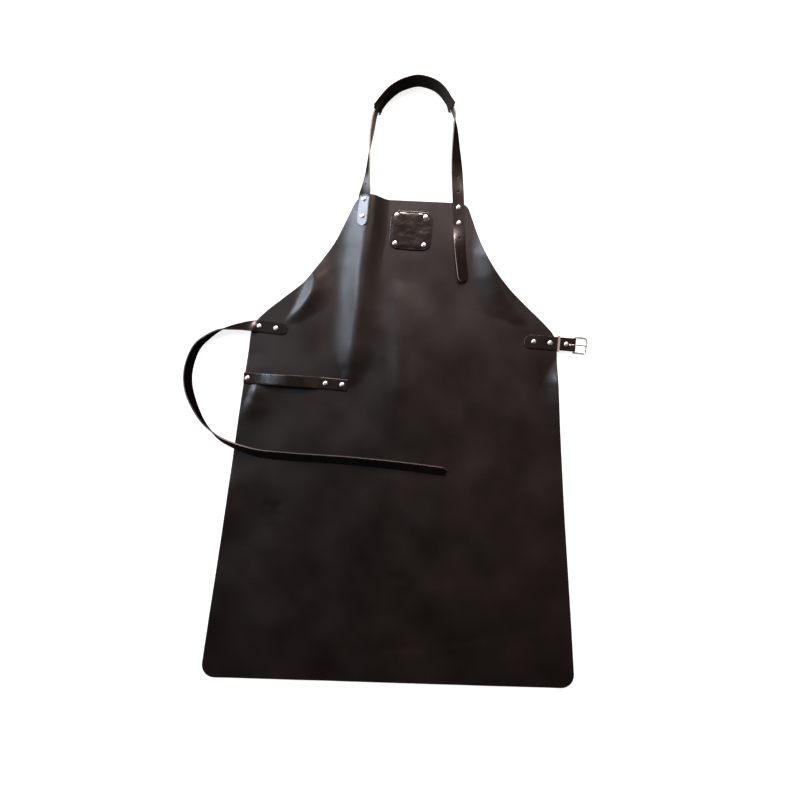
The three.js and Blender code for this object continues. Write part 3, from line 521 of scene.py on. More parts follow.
# %% [markdown]
# ## The apron's sheet
# The sheet's rows run from the hem to the bib's top edge, closer together in the rounded corners. Its back
# lies on the floor, apart from the folds. Waves of a millimetre or so, one broad low swell and a few pressed
# creases keep it from looking like a board, because real hide never lies quite flat. They fade out on the
# seats, so the pieces riveted there lie level.

# %% The sheet's small unevenness
WAVE_HEIGHT = 0.8
WAVES = [  # wave length in millimetres, direction in degrees, phase
    (170, 20, 0.4), (118, 75, 2.1), (93, 140, 4.0), (140, 108, 1.2), (64, 35, 5.1),
]
SWELL = {"x": 0, "y": 150, "half_x": 150, "half_y": 200, "height": 4.2}
DENTS = [  # from x, y to x, y, depth, half width
    (-224, -106, -203, -124, 0.5, 12), (-203, -106, -224, -124, 0.5, 12), (-2, -222, 12, -226, 0.6, 13),
    (172, -321, 80, -338, 0.35, 12), (80, -338, -12, -350, 0.3, 12), (-118, 96, -100, 78, 0.4, 14),
]


def waviness(x, y):
    """Slow waves that cross each other, never below 0."""
    total = 0
    for length, turn, phase in WAVES:
        along = x * math.cos(math.radians(turn)) + y * math.sin(math.radians(turn))
        total = total + np.sin(2 * np.pi * along / length + phase)
    return WAVE_HEIGHT * (total / len(WAVES) + 1)


def swell(x, y):
    """One broad low rise in the middle of the hide."""
    out = np.hypot((x - SWELL["x"]) / SWELL["half_x"], (y - SWELL["y"]) / SWELL["half_y"])
    return SWELL["height"] * (1 - ease(out))


def dents(x, y):
    """Short creases pressed into the hide, each a narrow groove that dies away at its ends."""
    depth = 0
    for x0, y0, x1, y1, deep, half in DENTS:
        run_x, run_y = x1 - x0, y1 - y0
        share = np.clip(((x - x0) * run_x + (y - y0) * run_y) / (run_x ** 2 + run_y ** 2), 0, 1)
        away = np.hypot(x - x0 - run_x * share, y - y0 - run_y * share) / half
        depth = depth + deep * (1 - ease(away))
    return depth


# %% The sheet
SHEET_COLUMNS = 150
SHEET_ROW_STEP = 4.5
CORNER_STEPS = 7
APRON_EDGE_ROUND = 0.5


def sheet_rows():
    """Heights of the sheet's rows, from the hem up."""
    low, high = HEM_Y + HEM_CORNER, TOP_Y - BIB_CORNER
    middle = np.linspace(low, high, round((high - low) / SHEET_ROW_STEP) + 1)
    hem, top = corner_stops(HEM_CORNER, CORNER_STEPS), corner_stops(BIB_CORNER, CORNER_STEPS)
    return np.concatenate([HEM_Y + hem, middle, TOP_Y - top[::-1]])


def sheet_points():
    """The middle of the leather, with its slanted hem and the top edge pulled up over the ridge."""
    row = sheet_rows()[:, None]
    left, right = edges_at(row)
    x = left + (right - left) * np.linspace(0, 1, SHEET_COLUMNS + 1)[None, :]
    skew = HEM_SKEW * x * (1 - ease((row - HEM_Y) / HEM_SKEW_REACH))
    pull = 1 - ease(abs(x - TOP_RISE["x"]) / TOP_RISE["reach"])
    lift = TOP_RISE["height"] * pull * (1 - ease((TOP_Y - row) / TOP_RISE["down"]))
    y = row + skew + lift
    free = np.ones(x.shape)
    for *seat, _ in SEATS:
        free = np.minimum(free, 1 - seated(x, y, *seat))
    uneven = np.maximum(waviness(x, y) + swell(x, y) - dents(x, y), 0)
    z = underside(x, y) + uneven * free + BODY_THICK / 2
    return np.stack([x, y, z], axis=-1)


apron_finishes = [apron_grain, apron_back, apron_edge]
apron = leather_piece("apron_leather", sheet_points(), BODY_THICK, APRON_EDGE_ROUND, apron_finishes)
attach(apron, "apron")
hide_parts("apron_body")

# %% [markdown]
# ## Straps on their routes
# A strap is drawn in plan as a smooth curve through a few points, with its turn about its own length: flat
# where it is riveted, on edge where it bends sideways. Leather cannot bend in its own plane, so a strap that
# curves on the floor must stand up, and the turn tells how far. In the pad it stands on the pad's half width.

# %% Routes, in millimetres and degrees
STRAP_THICK, STRAP_HALF = 2.4, 10
PAD_HALF = 19.5
LEFT_RISE = 0.26
LEFT_TILT = math.degrees(math.atan(LEFT_RISE))
RESTS = (0, STRAP_HALF)
NECK_ROUTE = [  # x, y, turn; where they differ from RESTS, then a rise and the half width that stands up
    (-81.3, 387.5, LEFT_TILT), (-79.4, 421, LEFT_TILT), (-78.2, 440, LEFT_TILT + 3, -0.3),
    (-77, 450, 34, -3.1), (-76.4, 460, 50, -5), (-74.6, 481, 69, -0.3),
    (-73.6, 502, 79, 0.5), (-72.8, 523, 89), (-69.4, 560, 106, 0, STRAP_HALF + 3),
    (-63, 588, 104, 0, PAD_HALF), (-33.6, 625, 103, 0, PAD_HALF), (7.3, 641, 102, 0, PAD_HALF),
    (44.3, 628.5, 101, 0, PAD_HALF), (70.6, 588, 98, 0, PAD_HALF), (73.8, 568, 72, 0, STRAP_HALF + 4),
    (77, 528, 44), (81.4, 484, 14, 1.2), (86.1, 431, 0), (88.4, 398, 0), (92.9, 349, 22), (100.3, 299, 27),
]
WAIST_ROUTE = [
    (-202.5, 201.2, 0), (-251.6, 205.3, 0), (-262, 205, -24), (-279, 203.6, -48), (-300, 200.4, -69),
    (-318, 196, -88), (-339.4, 182.5, -105), (-357.8, 164.2, -117), (-371, 125, -125), (-368.5, 88.4, -122),
    (-345.1, 39.5, -98), (-326.1, 18.5, -82), (-305.2, 3.7, -68), (-250.2, -14.3, -52), (-190, -19, -47),
    (-90, -21.4, -47), (12.8, -27.1, -47), (86.5, -33.4, -47),
]
TOWEL_ROUTE = [
    (-275, 114.2, 0), (-253, 113.6, 0), (-234, 113.2, 3, 3.4), (-212, 112.7, 0, 9.4),
    (-195, 112.3, -6, 10.8), (-178, 112, -6, 10.6), (-157, 111.5, 0, 6),
    (-138, 111, 0), (-120, 110.4, 0), (-93.5, 109.2, 0),
]
ROUTE_STEPS = 60


def route_of(table):
    """A centripetal curve through a table's points, with its length and its other columns."""
    rows = [row + RESTS[len(row) - 3:] for row in table]
    points = np.array([row[:2] for row in rows], float)
    ahead = np.vstack([2 * points[0] - points[1], points, 2 * points[-1] - points[-2]])
    samples, steps = [], []
    t = np.linspace(0, 1, ROUTE_STEPS + 1)[:, None]
    for i in range(len(points) - 1):
        p0, p1, p2, p3 = ahead[i:i + 4]
        d0, d1, d2 = (math.sqrt(np.hypot(*(b - a))) for a, b in ((p0, p1), (p1, p2), (p2, p3)))
        m1 = ((p1 - p0) / d0 - (p2 - p0) / (d0 + d1) + (p2 - p1) / d1) * d1
        m2 = ((p2 - p1) / d1 - (p3 - p1) / (d1 + d2) + (p3 - p2) / d2) * d1
        keep = ROUTE_STEPS + 1 if i == len(points) - 2 else ROUTE_STEPS
        samples.append(hermite(t[:keep], p1, m1, p2, m2))
        steps.append(i + t[:keep, 0])
    line, step = np.concatenate(samples), np.concatenate(steps)
    length = np.append(0, np.cumsum(np.hypot(*np.diff(line, axis=0).T)))
    columns = [smooth_table(range(len(rows)), [row[c] for row in rows]) for c in (2, 3, 4)]
    return {"line": line, "step": step, "along": length, "length": length[-1], "columns": columns}


neck, waist, towel = route_of(NECK_ROUTE), route_of(WAIST_ROUTE), route_of(TOWEL_ROUTE)
print("neck, waist and towel route", [round(route["length"]) for route in (neck, waist, towel)], "mm")

# %% [markdown]
# At each place along its route the strap needs a small frame of its own: its middle, the direction across it
# and the direction its grain looks. It stands as high as its turned width needs, over the apron or, past the
# apron's edge, over the floor.

# %% Frames along a route
GAP = 0.4
EDGE_CLEAR, EDGE_FADE = 5, 45
RUN_STEP = 0.5


def ground(x, y):
    """Height of what a strap lies on: the apron's face, coming down to the floor past the apron's edge."""
    left, right = edges_at(y)
    past_side = np.maximum(left - x, x - right)
    past_end = np.maximum(y - TOP_Y - TOP_RISE["height"], HEM_Y - y)
    past = np.maximum(past_side, past_end)
    return (face(x, y) + GAP) * (1 - ease((past - EDGE_CLEAR) / EDGE_FADE))


def station(route, distance):
    """The strap at distances along its route: its middle, its left side and where its grain looks."""
    def middle(at):
        return np.stack([np.interp(at, route["along"], route["line"][:, c]) for c in (0, 1)], axis=-1)

    distance = np.asarray(distance, float)
    ahead = middle(np.minimum(distance + RUN_STEP, route["length"]))
    run = ahead - middle(np.maximum(distance - RUN_STEP, 0))
    run = run / np.linalg.norm(run, axis=-1, keepdims=True)
    left = np.stack([-run[..., 1], run[..., 0], 0 * distance], axis=-1)
    step = np.interp(distance, route["along"], route["step"])
    turn, rise, stands = (read(step) for read in route["columns"])
    roll = np.radians(turn)
    cos, sin, up = np.cos(roll)[..., None], np.sin(roll)[..., None], np.array([0, 0, 1.0])
    grain, side = up * cos + left * sin, left * cos - up * sin
    place = middle(distance)
    x, y = place[..., 0], place[..., 1]
    reach_x, reach_y = left[..., 0] * STRAP_HALF / 2, left[..., 1] * STRAP_HALF / 2
    tilt = ground(x + reach_x, y + reach_y) - ground(x - reach_x, y - reach_y)
    lean = roll + np.arctan(tilt / STRAP_HALF)
    z = ground(x, y) + stands * abs(np.sin(lean)) + STRAP_THICK / 2 * abs(np.cos(lean)) + rise
    return np.stack([x, y, z], axis=-1), side, grain


# %% Straps as points, and their cutters
STRAP_STEP = 4
STRAP_COLUMNS = 6
TIP_STEPS = 8
BLUNT_TIP = 1.0
HOLE_RADIUS = 1.7
HOLE_FLOOR = 0.3
HOLE_SIDES = 20


def strap_points(route, rounded):
    """Rows of points across a strap, with half-round or straight ends."""
    length, tip = route["length"], STRAP_HALF if rounded else 0
    arc = corner_stops(tip, TIP_STEPS if rounded else 0)
    inner = np.linspace(tip, length - tip, round((length - 2 * tip) / STRAP_STEP) + 1)
    stops = np.concatenate([arc, inner, length - arc[::-1]])
    half = np.maximum(STRAP_HALF - corner_inset(tip, np.minimum(stops, length - stops)), BLUNT_TIP)
    across = half[:, None] * np.linspace(1, -1, STRAP_COLUMNS + 1)
    middle, side, _ = station(route, stops)
    return middle[:, None] + side[:, None] * across[..., None]


def hole_cutter(route, distances):
    """Rods that reach into a strap's grain side but not through it, joined into one cutter: the dark floor
    they leave is painted shade in place of a through hole.
    """
    rods = []
    for distance in distances:
        middle, _, grain = station(route, distance)
        rod = primitive("cylinder", "hole_cutter",
                        vertices=HOLE_SIDES, radius=HOLE_RADIUS * MM, depth=2 * STRAP_THICK * MM)
        rod.data.transform(stand(middle + grain * (STRAP_THICK / 2 + HOLE_FLOOR), grain))
        # The rods carry the near-black back, painted shade for the holes' floors
        rod.data.materials.append(painted_shade_back)
        rods.append(rod)
    for rod in rods:
        rod.select_set(True)
    bpy.context.view_layer.objects.active = rods[0]
    bpy.ops.object.join()
    return rods[0]


# %% [markdown]
# ## Neck strap, waist strap and towel loop
# The neck strap runs through the pad and past its right rivets as a free tail with spare holes. The waist
# strap leaves its rivets flat, swings round on edge and comes back leaning across the skirt. The towel loop
# stands off the apron between its rivets. The holes are punched blind, and their dark floor is painted shade
# that stands in for the shaded floor a through hole would show.

# %% The three straps
STRAP_EDGE_ROUND = 1.0
HOLE_PITCH = 27
NECK_LEFT_RIVETS = [17, 46.5]
NECK_TAIL = 102.7
NECK_HOLES = [-2, -1, 2, 3]
WAIST_FIRST_HOLE, WAIST_HOLES = 42, 6

upper_right = neck["length"] - NECK_TAIL - HOLE_PITCH
neck_holes = [upper_right + count * HOLE_PITCH for count in NECK_HOLES] + [NECK_LEFT_RIVETS[1] + HOLE_PITCH]
waist_holes = [waist["length"] - WAIST_FIRST_HOLE - count * HOLE_PITCH for count in range(WAIST_HOLES)]
neck_finishes = [neck_grain, neck_back, strap_edge]
dark_finishes = [strap_grain, painted_shade_back, dyed_edge]
straps = [  # node, route, round tips, holes, finishes
    ("neck_strap", neck, True, neck_holes, neck_finishes),
    ("waist_strap", waist, True, waist_holes, dark_finishes),
    ("towel_loop", towel, False, [], dark_finishes),
]
for node_name, route, rounded, holes, finishes in straps:
    cutter = hole_cutter(route, holes) if holes else None
    points = strap_points(route, rounded)
    strap = leather_piece(node_name + "_leather", points, STRAP_THICK, STRAP_EDGE_ROUND, finishes, cutter)
    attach(strap, "apron")
    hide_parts(node_name)

# %% [markdown]
# ## The neck pad
# The pad is a soft sleeve of thin leather that slides on the strap: two layers that lie close along their
# long edges, bulge over the strap and gape at the open ends. A grid is wrapped round the strap and its long
# edges are merged, so the sleeve is one closed skin before it gets its wall.

# %% The pad
PAD_FROM, PAD_LENGTH = 198, 178
PAD_WALL = 1.2
PAD_CLOSED = PAD_WALL * 0.55
PAD_AROUND = 64
PAD_STEP = 2
PAD_BULGE = 2.7
BULGE_FROM, BULGE_TO = 0.9, 0.85  # share of the strap's half width, share of the pad's
PAD_GAPE, PAD_GAPE_REACH = 3.2, 20
PAD_LONG_LAYER, LAYER_BLEND = 7, 0.6
RIM_STEEPNESS = 4
CREASES = [(13, 0.5), (6, 0.25)]  # size, height
SWAY = {"height": 0.8, "size": 17, "slice": 5}
PAD_SMOOTH = 50
MERGE_PAD = 0.02 * MM

rumple = np.vectorize(lambda x, y, z: noise.noise((x, y, z)))


def pad_points():
    """Rings round the strap: the outer layer ends short of the inner one, and both gape at the ends."""
    half = PAD_HALF - PAD_WALL / 2
    share = np.linspace(-1, 1, round(PAD_LENGTH / PAD_STEP) + 1)[:, None]
    angle = np.linspace(0, 2 * np.pi, PAD_AROUND + 1)[None, :]
    across, layer = half * np.cos(angle), np.sin(angle)
    outer = ease((layer + LAYER_BLEND) / (2 * LAYER_BLEND))
    along = share * (0.5 * PAD_LENGTH - PAD_LONG_LAYER * outer) + 0.5 * PAD_LENGTH
    gape = PAD_GAPE * (1 - ease((1 - abs(share)) * PAD_LENGTH / 2 / PAD_GAPE_REACH))
    bulge_from, bulge_to = STRAP_HALF * BULGE_FROM, half * BULGE_TO
    over_strap = 1 - ease((abs(across) - bulge_from) / (bulge_to - bulge_from))
    crumple = sum(deep * rumple(along / size, across / size, layer) for size, deep in CREASES)
    depth = PAD_CLOSED + (PAD_BULGE + gape + crumple - PAD_CLOSED) * over_strap
    rim = np.minimum(abs(layer) * RIM_STEEPNESS, 1) * np.sign(layer)
    sway = SWAY["height"] * rumple(along / SWAY["size"], 0 * along, SWAY["slice"] + np.cos(angle))
    middle, side, grain = station(neck, PAD_FROM + along)
    return middle + side * (across + sway)[..., None] + grain * (depth * rim)[..., None]


def merge_and_close(threshold):
    """In Edit mode, merges doubled points and turns the faces outwards; then leaves Edit mode."""
    bpy.ops.mesh.select_all(action="SELECT")
    bpy.ops.mesh.remove_doubles(threshold=threshold)
    bpy.ops.mesh.normals_make_consistent(inside=False)
    mode("OBJECT")


pad = grid_piece("neck_pad_leather", pad_points())
mode("EDIT")
merge_and_close(MERGE_PAD)
pad.data.materials.append(pad_grain)
apply_modifier(pad, "SOLIDIFY", thickness=PAD_WALL * MM, offset=0)
smooth(PAD_SMOOTH)
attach(pad, "apron")
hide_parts("neck_pad")
print("pad", len(pad.data.polygons), "faces")

# %% [markdown]
# ## The badge
# A rounded square patch with slightly bulging sides. Its face is bare, with one tooled line inside the edge,
# and the rivets pull small dips into it. A square grid is pressed into the outline ring by ring, so its rings
# follow the edge and can carry the tooled line.

# %% The badge's outline and rivets
BADGE = {"x": 5.2, "y": 384, "turn": -1.4, "width": 70, "height": 64,
         "bulge": 1.8, "corner": 12, "thick": 2.4}
BADGE_RIVETS = {"x": 4, "y": 384.8, "half_x": 25.3, "half_y": 24.7}
HALVINGS = 40


def on_badge(middle, x, y):
    """A place beside a middle, turned with the badge."""
    cos, sin = math.cos(math.radians(BADGE["turn"])), math.sin(math.radians(BADGE["turn"]))
    return middle["x"] + (x * cos - y * sin), middle["y"] + (x * sin + y * cos)


def badge_rivet_places():
    """The four rivets, row by row from the top left."""
    half_x, half_y = BADGE_RIVETS["half_x"], BADGE_RIVETS["half_y"]
    return [on_badge(BADGE_RIVETS, x * half_x, y * half_y) for y in (1, -1) for x in (-1, 1)]


def badge_reach(angle):
    """Distance from the badge's middle to its outline in a direction, found by halving."""
    half_w, half_h, corner = BADGE["width"] / 2, BADGE["height"] / 2, BADGE["corner"]
    ux, uy = math.cos(angle), math.sin(angle)
    low, high = 0.0, 2 * half_w
    for _ in range(HALVINGS):
        reach = (low + high) / 2
        x, y = abs(ux * reach), abs(uy * reach)
        wide = half_w + BADGE["bulge"] * (1 - (y / half_h) ** 2)
        tall = half_h + BADGE["bulge"] * (1 - (x / half_w) ** 2)
        in_x, in_y = max(x - (wide - corner), 0), max(y - (tall - corner), 0)
        inside = math.hypot(in_x, in_y) < corner if in_x > 0 and in_y > 0 else x < wide and y < tall
        low, high = (reach, high) if inside else (low, reach)
    return low


# %% The badge
BADGE_STEPS = 72
BADGE_EDGE_ROUND = 0.6
BADGE_SPARE = 0.2
CUSHION = {"height": 0.45, "reach": 9}
TOOLED_LINE = {"from_edge": 3.4, "width": 0.8, "depth": 0.16}
BADGE_DIP = {"radius": 8.5, "depth": 0.55, "steepness": 1.5}
WRINKLES = [(11, 0.3), (5, 0.12)]  # size, height
WRINKLE_FADE = 6


def badge_relief(x, y, from_edge):
    """Height of the badge's cushion, with its tooled line, the rivets' dips and the wrinkles."""
    tooled = math.exp(-((from_edge - TOOLED_LINE["from_edge"]) / TOOLED_LINE["width"]) ** 2)
    relief = CUSHION["height"] * ease(from_edge / CUSHION["reach"]) - TOOLED_LINE["depth"] * tooled
    for dip_x, dip_y in badge_rivet_places():
        away = math.hypot(x - dip_x, y - dip_y) / BADGE_DIP["radius"]
        relief -= BADGE_DIP["depth"] * math.exp(-(away * BADGE_DIP["steepness"]) ** 2)
    wrinkle = sum(deep * noise.noise((x / size, y / size, size)) for size, deep in WRINKLES)
    return relief + wrinkle * ease(from_edge / WRINKLE_FADE)


def badge_points():
    """The badge's middle layer on rings from its centre to its outline."""
    level = float(face(BADGE["x"], BADGE["y"])) + GAP + BADGE["thick"] / 2 + BADGE_SPARE
    sides = np.linspace(-1, 1, BADGE_STEPS + 1)
    rows = []
    for b in sides:
        row = []
        for a in sides:
            ring = max(abs(a), abs(b))
            angle = math.atan2(b, a)
            reach = badge_reach(angle)
            x, y = on_badge(BADGE, reach * ring * math.cos(angle), reach * ring * math.sin(angle))
            row.append((x, y, level + badge_relief(x, y, reach * (1 - ring))))
        rows.append(row)
    return np.array(rows)


badge_thick = BADGE["thick"] - 2 * BADGE_SPARE
badge_finishes = [badge_grain, painted_shade_back, badge_grain]
badge = leather_piece("badge_leather", badge_points(), badge_thick, BADGE_EDGE_ROUND, badge_finishes)
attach(badge, "apron")
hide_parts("badge")

# %% [markdown]
# ## The buckle tab
# The tab is a strap folded round the buckle's bar: a front layer with a round tip, an eye and a short back
# layer. Its side view is drawn as a path, the strap follows it, and a slot lets the prong through the fold.

# %% The tab's side view
TAB = {"x": 228.1, "y": 199.9, "turn": -2.2, "width": 23}
TAB_HALF = TAB["width"] / 2
TAB_TIP, TAB_BACK_END = -16.5, 42.2
BAR_X, BAR_RADIUS, BAR_CLEARANCE = 69.1, 1.5, 0.3
TAB_FACE, LAYER_GAP = 4.8, 0.3
BAR_Z = TAB_FACE - LAYER_GAP / 2
EYE_MIDDLE = BAR_RADIUS + BAR_CLEARANCE + STRAP_THICK / 2
EYE_FROM, EYE_RAMP = 100, 9
LAYER_MIDDLE = LAYER_GAP / 2 + STRAP_THICK / 2
TAB_STEPS = {"tip": 12, "front": 19, "ramp": 8, "eye": 24, "back": 5}


def tab_path():
    """Side view of the folded strap, from the front layer's tip round the bar to the back layer's end."""
    meet = math.radians(EYE_FROM)
    meet_x, meet_z = EYE_MIDDLE * math.cos(meet), EYE_MIDDLE * math.sin(meet)
    slope = -math.cos(meet) / math.sin(meet)
    run = meet_x + EYE_RAMP
    ramp_from = BAR_X - EYE_RAMP
    shares = np.linspace(0, 1, TAB_STEPS["ramp"] + 1)[:-1]
    ramp = [(ramp_from + run * t, hermite(t, LAYER_MIDDLE, 0, meet_z, slope * run)) for t in shares]
    tip = [(TAB_TIP + stop, LAYER_MIDDLE) for stop in corner_stops(TAB_HALF, TAB_STEPS["tip"])]
    front_stops = np.linspace(TAB_TIP + TAB_HALF, ramp_from, TAB_STEPS["front"] + 1)[:-1]
    front = [(x, LAYER_MIDDLE) for x in front_stops]
    eye_angles = np.linspace(meet, -meet, TAB_STEPS["eye"] + 1)
    eye = [(BAR_X + EYE_MIDDLE * math.cos(a), EYE_MIDDLE * math.sin(a)) for a in eye_angles]
    back_ramp = [(x, -z) for x, z in reversed(ramp)]
    back = [(x, -LAYER_MIDDLE) for x in np.linspace(ramp_from, TAB_BACK_END, TAB_STEPS["back"] + 1)[1:]]
    return tip + front + ramp + eye + back_ramp + back


# %% The tab
TAB_COLUMNS = 8
TAB_BLUNT_TIP = 1.2
TAB_EDGE_ROUND = 0.9
SLOT_FROM, SLOT_HALF = 61.5, 1.3
SLOT_TO = BAR_X + 2 * EYE_MIDDLE
SLOT_TALL = 6 * EYE_MIDDLE
TAB_PLACE = shift(TAB["x"], TAB["y"], 0) @ Matrix.Rotation(math.radians(TAB["turn"]), 4, "Z")


def tab_points():
    """Rows of points across the folded strap, in its place on the apron."""
    rows, across = [], np.linspace(1, -1, TAB_COLUMNS + 1)
    for x, z in tab_path():
        wide = max(TAB_HALF - float(corner_inset(TAB_HALF, x - TAB_TIP)), TAB_BLUNT_TIP)
        rows.append([TAB_PLACE @ Vector((x * MM, a * wide * MM, (BAR_Z + z) * MM)) / MM for a in across])
    return np.array(rows)


def slot_cutter():
    """A box that opens the fold for the prong."""
    slot = primitive("cube", "slot_cutter", size=1)
    slot_middle = TAB_PLACE @ shift((SLOT_FROM + SLOT_TO) / 2, 0, BAR_Z)
    slot.data.transform(slot_middle @ stretch(SLOT_TO - SLOT_FROM, 2 * SLOT_HALF, SLOT_TALL))
    slot.data.materials.append(strap_edge)
    return slot


tab_finishes = [strap_grain, painted_shade_back, strap_edge]
slot = slot_cutter()
tab = leather_piece("buckle_tab_leather", tab_points(), STRAP_THICK, TAB_EDGE_ROUND, tab_finishes, slot)
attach(tab, "apron")
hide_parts("buckle_tab")

# %% [markdown]
# ## Rivets
# Each rivet is a domed cap, a post and a flat back cap. One profile is spun round its axis into a master, and
# every rivet is a copy of it with its own mesh, its post made as long as what it grips.

# %% Spinning a profile
SPIN_STEPS = 36
METAL_SMOOTH = 40
MERGE_SPUN = 0.01 * MM


def spun(name, profile):
    """A solid of revolution about +Z: a chain of edges is extruded point by point and spun."""
    piece = primitive("plane", name, size=1)
    mode("EDIT")
    bpy.ops.mesh.select_all(action="SELECT")
    bpy.ops.mesh.merge(type="CENTER")
    last = Vector((profile[0][0] * MM, 0, profile[0][1] * MM))
    bpy.ops.transform.translate(value=last)
    for radius, level in profile[1:]:
        point = Vector((radius * MM, 0, level * MM))
        bpy.ops.mesh.extrude_region_move(TRANSFORM_OT_translate={"value": point - last})
        last = point
    bpy.ops.mesh.select_all(action="SELECT")
    bpy.ops.mesh.spin(steps=SPIN_STEPS, angle=2 * math.pi, center=(0, 0, 0), axis=(0, 0, 1))
    merge_and_close(MERGE_SPUN)
    smooth(METAL_SMOOTH)
    return piece


# %% The rivet's profile
CAP_RADIUS, CAP_HEIGHT = 4.5, 2.2
BACK_RADIUS, BACK_HEIGHT, BACK_ROUND = 4, 0.8, 0.3
POST_RADIUS, CAP_GAP = 1.8, 0.25
RIM = {"under": 0.35, "low": 0.3, "in": 0.15, "high": 0.65}
DOME_FROM, DOME_STEPS = 0.12, 8
MASTER_GRIP = 5


def cap_profile():
    """The cap's outline from the post outwards: a rolled rim, then a low dome up to the axis."""
    shoulder, base = CAP_RADIUS - RIM["in"], CAP_GAP + RIM["high"]
    points = [
        (POST_RADIUS, CAP_GAP), (CAP_RADIUS - RIM["under"], CAP_GAP),
        (CAP_RADIUS, CAP_GAP + RIM["low"]), (shoulder, base),
    ]
    for t in np.linspace(DOME_FROM, 1, DOME_STEPS):
        angle = t * math.pi / 2
        points.append((shoulder * math.cos(angle), base + (CAP_HEIGHT - RIM["high"]) * math.sin(angle)))
    points[-1] = (0, CAP_GAP + CAP_HEIGHT)
    return points


back_top = -MASTER_GRIP - CAP_GAP
back_bottom = back_top - BACK_HEIGHT
back_profile = [
    (0, back_bottom), (BACK_RADIUS - BACK_ROUND, back_bottom), (BACK_RADIUS, back_bottom + BACK_ROUND),
    (BACK_RADIUS, back_top), (POST_RADIUS, back_top),
]
rivet_master = spun("rivet_master", back_profile + cap_profile())
rivet_master.data.materials.append(nickel)
print("rivet", len(rivet_master.data.polygons), "faces")

# %% Setting the rivets
STRAP_GRIP = STRAP_THICK + GAP + BODY_THICK
BADGE_GRIP = BADGE["thick"] + GAP + BODY_THICK
FOLD_GRIP = 2 * STRAP_THICK + LAYER_GAP
TAB_RIVETS = [  # name, distance along the tab, grip
    ("inner", 0, STRAP_GRIP), ("mid", 28.2, STRAP_GRIP), ("outer", 56.5, FOLD_GRIP),
]


def set_rivet(node_name, top, axis, grip):
    """A copy of the master whose cap sits on top and whose back cap closes under what it grips."""
    rivet = bpy.data.objects.new(node_name + "_cap", rivet_master.data.copy())
    bpy.context.collection.objects.link(rivet)
    for vertex in rivet.data.vertices:
        if vertex.co.z < -MASTER_GRIP * MM / 2:
            vertex.co.z += (MASTER_GRIP - grip) * MM
    rivet.data.transform(stand(top, axis))
    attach(rivet, "apron")
    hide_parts(node_name)


strap_rivets = [  # node, route, distance along it
    ("neck_rivet_left_lower", neck, NECK_LEFT_RIVETS[0]),
    ("neck_rivet_left_upper", neck, NECK_LEFT_RIVETS[1]),
    ("neck_rivet_right_upper", neck, upper_right),
    ("neck_rivet_right_lower", neck, upper_right + HOLE_PITCH),
    ("waist_rivet_inner", waist, 19.8),
    ("waist_rivet_outer", waist, 49.3),
    ("towel_rivet_left", towel, 7),
    ("towel_rivet_mid", towel, 143.3),
    ("towel_rivet_right", towel, 172.4),
]
for node_name, route, distance in strap_rivets:
    middle, _, grain = station(route, distance)
    set_rivet(node_name, middle + grain * STRAP_THICK / 2, grain, STRAP_GRIP)
badge_top = float(face(BADGE["x"], BADGE["y"])) + GAP + BADGE["thick"]
badge_rivets = badge_rivet_places()
for count, (x, y) in enumerate(badge_rivets):
    set_rivet("badge_rivet_%d" % (count + 1), (x, y, badge_top), (0, 0, 1), BADGE_GRIP)
for word, along, grip in TAB_RIVETS:
    top = TAB_PLACE @ Vector((along * MM, 0, (TAB_FACE + STRAP_THICK) * MM)) / MM
    set_rivet("tab_rivet_" + word, top, (0, 0, 1), grip)
bpy.data.objects.remove(rivet_master)
print("rivets set", len(strap_rivets) + len(badge_rivets) + len(TAB_RIVETS))

# %% [markdown]
# ## Keeper
# The keeper is a flat band bent into a rectangle round the tab. A box has the right outside, so its two open
# ends are inset by the band's thickness and bridged into a tunnel.

# %% Keeper
KEEPER = {"x": 41.5, "band": 3.2, "thick": 1.6, "low": 0.2, "slack": 0.6, "room": 3.1, "edge": 0.75}
FACES_ALONG = 0.9

keeper = primitive("cube", "keeper_band", size=1)
keeper_half = TAB_HALF + KEEPER["slack"] + KEEPER["thick"]
keeper_high = TAB_FACE + STRAP_THICK + KEEPER["room"] + KEEPER["thick"]
keeper_middle = shift(KEEPER["x"] + KEEPER["band"] / 2, 0, (KEEPER["low"] + keeper_high) / 2)
keeper.data.transform(keeper_middle @ stretch(KEEPER["band"], 2 * keeper_half, keeper_high - KEEPER["low"]))
mode("EDIT")
bpy.ops.mesh.select_all(action="DESELECT")
mode("OBJECT")
for polygon in keeper.data.polygons:
    polygon.select = abs(polygon.normal.x) > FACES_ALONG
mode("EDIT")
bpy.ops.mesh.select_mode(type="FACE")
bpy.ops.mesh.inset(thickness=KEEPER["thick"] * MM, use_individual=True)
bpy.ops.mesh.bridge_edge_loops()
bpy.ops.mesh.select_all(action="SELECT")
bpy.ops.mesh.normals_make_consistent(inside=False)
mode("OBJECT")
apply_modifier(keeper, "BEVEL", width=KEEPER["edge"] * MM, segments=BEVEL_STEPS)
smooth(METAL_SMOOTH)
keeper.data.transform(TAB_PLACE)
keeper.data.materials.append(nickel)
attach(keeper, "keeper")
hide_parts("keeper")
print("keeper", len(keeper.data.polygons), "faces")

# %% [markdown]
# ## Buckle and prong
# The buckle is round wire bent into a rectangle with rounded corners, so a flat outline becomes a curve with
# a round section. It lies tilted, with its far side on the floor. The prong is a ring on the bar, welded to a
# rod that rests on the frame's far side.

# %% Buckle frame
FRAME_REACH, FRAME_HALF = 22.6, 13.5
HEEL_CORNER, OUTER_CORNER, CORNER_SEGMENTS = 2, 3.5, 6
WIRE_STEPS, WIRE_SMOOTH = 5, 60
FRAME_TILT = math.asin((BAR_Z - BAR_RADIUS) / FRAME_REACH)
BUCKLE_PLACE = TAB_PLACE @ shift(BAR_X, 0, BAR_Z) @ Matrix.Rotation(FRAME_TILT, 4, "Y")

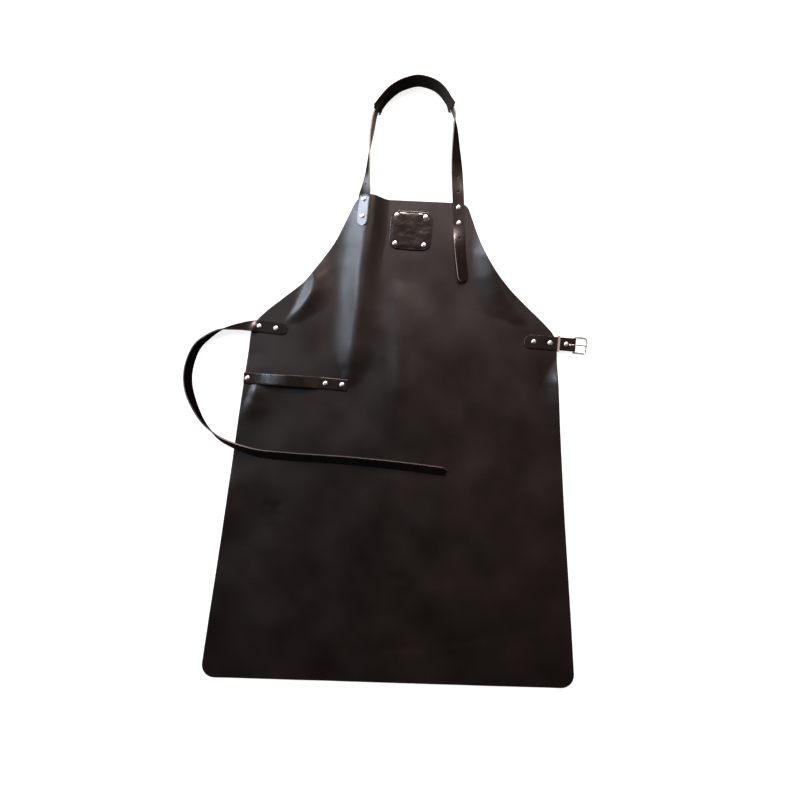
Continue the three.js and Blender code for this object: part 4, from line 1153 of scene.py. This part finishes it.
buckle = primitive("plane", "buckle_wire", size=1)
buckle.data.transform(shift(FRAME_REACH / 2, 0, 0) @ stretch(FRAME_REACH, 2 * FRAME_HALF, 1))
for corner_radius, on_bar in ((HEEL_CORNER, True), (OUTER_CORNER, False)):
    mode("EDIT")
    bpy.ops.mesh.select_mode(type="VERT")
    bpy.ops.mesh.select_all(action="DESELECT")
    mode("OBJECT")
    for vertex in buckle.data.vertices:
        vertex.select = (vertex.co.x < FRAME_REACH / 2 * MM) == on_bar
    mode("EDIT")
    bpy.ops.mesh.bevel(
        affect="VERTICES", offset=corner_radius * MM, offset_type="OFFSET", segments=CORNER_SEGMENTS)
bpy.ops.mesh.select_all(action="SELECT")
bpy.ops.mesh.delete(type="ONLY_FACE")
mode("OBJECT")
bpy.ops.object.convert(target="CURVE")
buckle = bpy.context.object
buckle.data.bevel_depth = BAR_RADIUS * MM
buckle.data.bevel_resolution = WIRE_STEPS
bpy.ops.object.convert(target="MESH")
buckle = bpy.context.object
smooth(WIRE_SMOOTH)
buckle.data.transform(BUCKLE_PLACE)
buckle.data.materials.append(nickel)
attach(buckle, "buckle")
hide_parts("buckle_frame")
print("buckle", len(buckle.data.polygons), "faces")

# %% Prong
PRONG_RADIUS = 1
PRONG_RING = BAR_RADIUS + BAR_CLEARANCE + PRONG_RADIUS
PRONG_PAST_BAR = 2
PRONG_TIP = [(1, 2.2), (0.85, 1.1), (0.55, 0.35)]  # share of the radius, distance from the end
RING_STEPS, RING_WIRE_STEPS = 40, 16
PRONG_SMOOTH = 50

prong_reach = FRAME_REACH + PRONG_PAST_BAR
prong_point = [(PRONG_RADIUS * share, prong_reach - from_end) for share, from_end in PRONG_TIP]
rod = spun("prong_rod", [(0, 0), (PRONG_RADIUS, 0)] + prong_point + [(0, prong_reach)])
rod.data.transform(shift(0, 0, PRONG_RING) @ Matrix.Rotation(math.pi / 2, 4, "Y"))
prong = primitive(
    "torus", "prong_wire", major_radius=PRONG_RING * MM,
    minor_radius=PRONG_RADIUS * MM, major_segments=RING_STEPS, minor_segments=RING_WIRE_STEPS)
prong.data.transform(Matrix.Rotation(math.pi / 2, 4, "X"))
apply_modifier(prong, "BOOLEAN", operation="UNION", solver="EXACT", object=rod)
smooth(PRONG_SMOOTH)
bpy.data.objects.remove(rod)
prong.data.transform(BUCKLE_PLACE)
prong.data.materials.append(nickel)
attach(prong, "prong")
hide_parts("buckle_prong")
print("prong", len(prong.data.polygons), "faces")
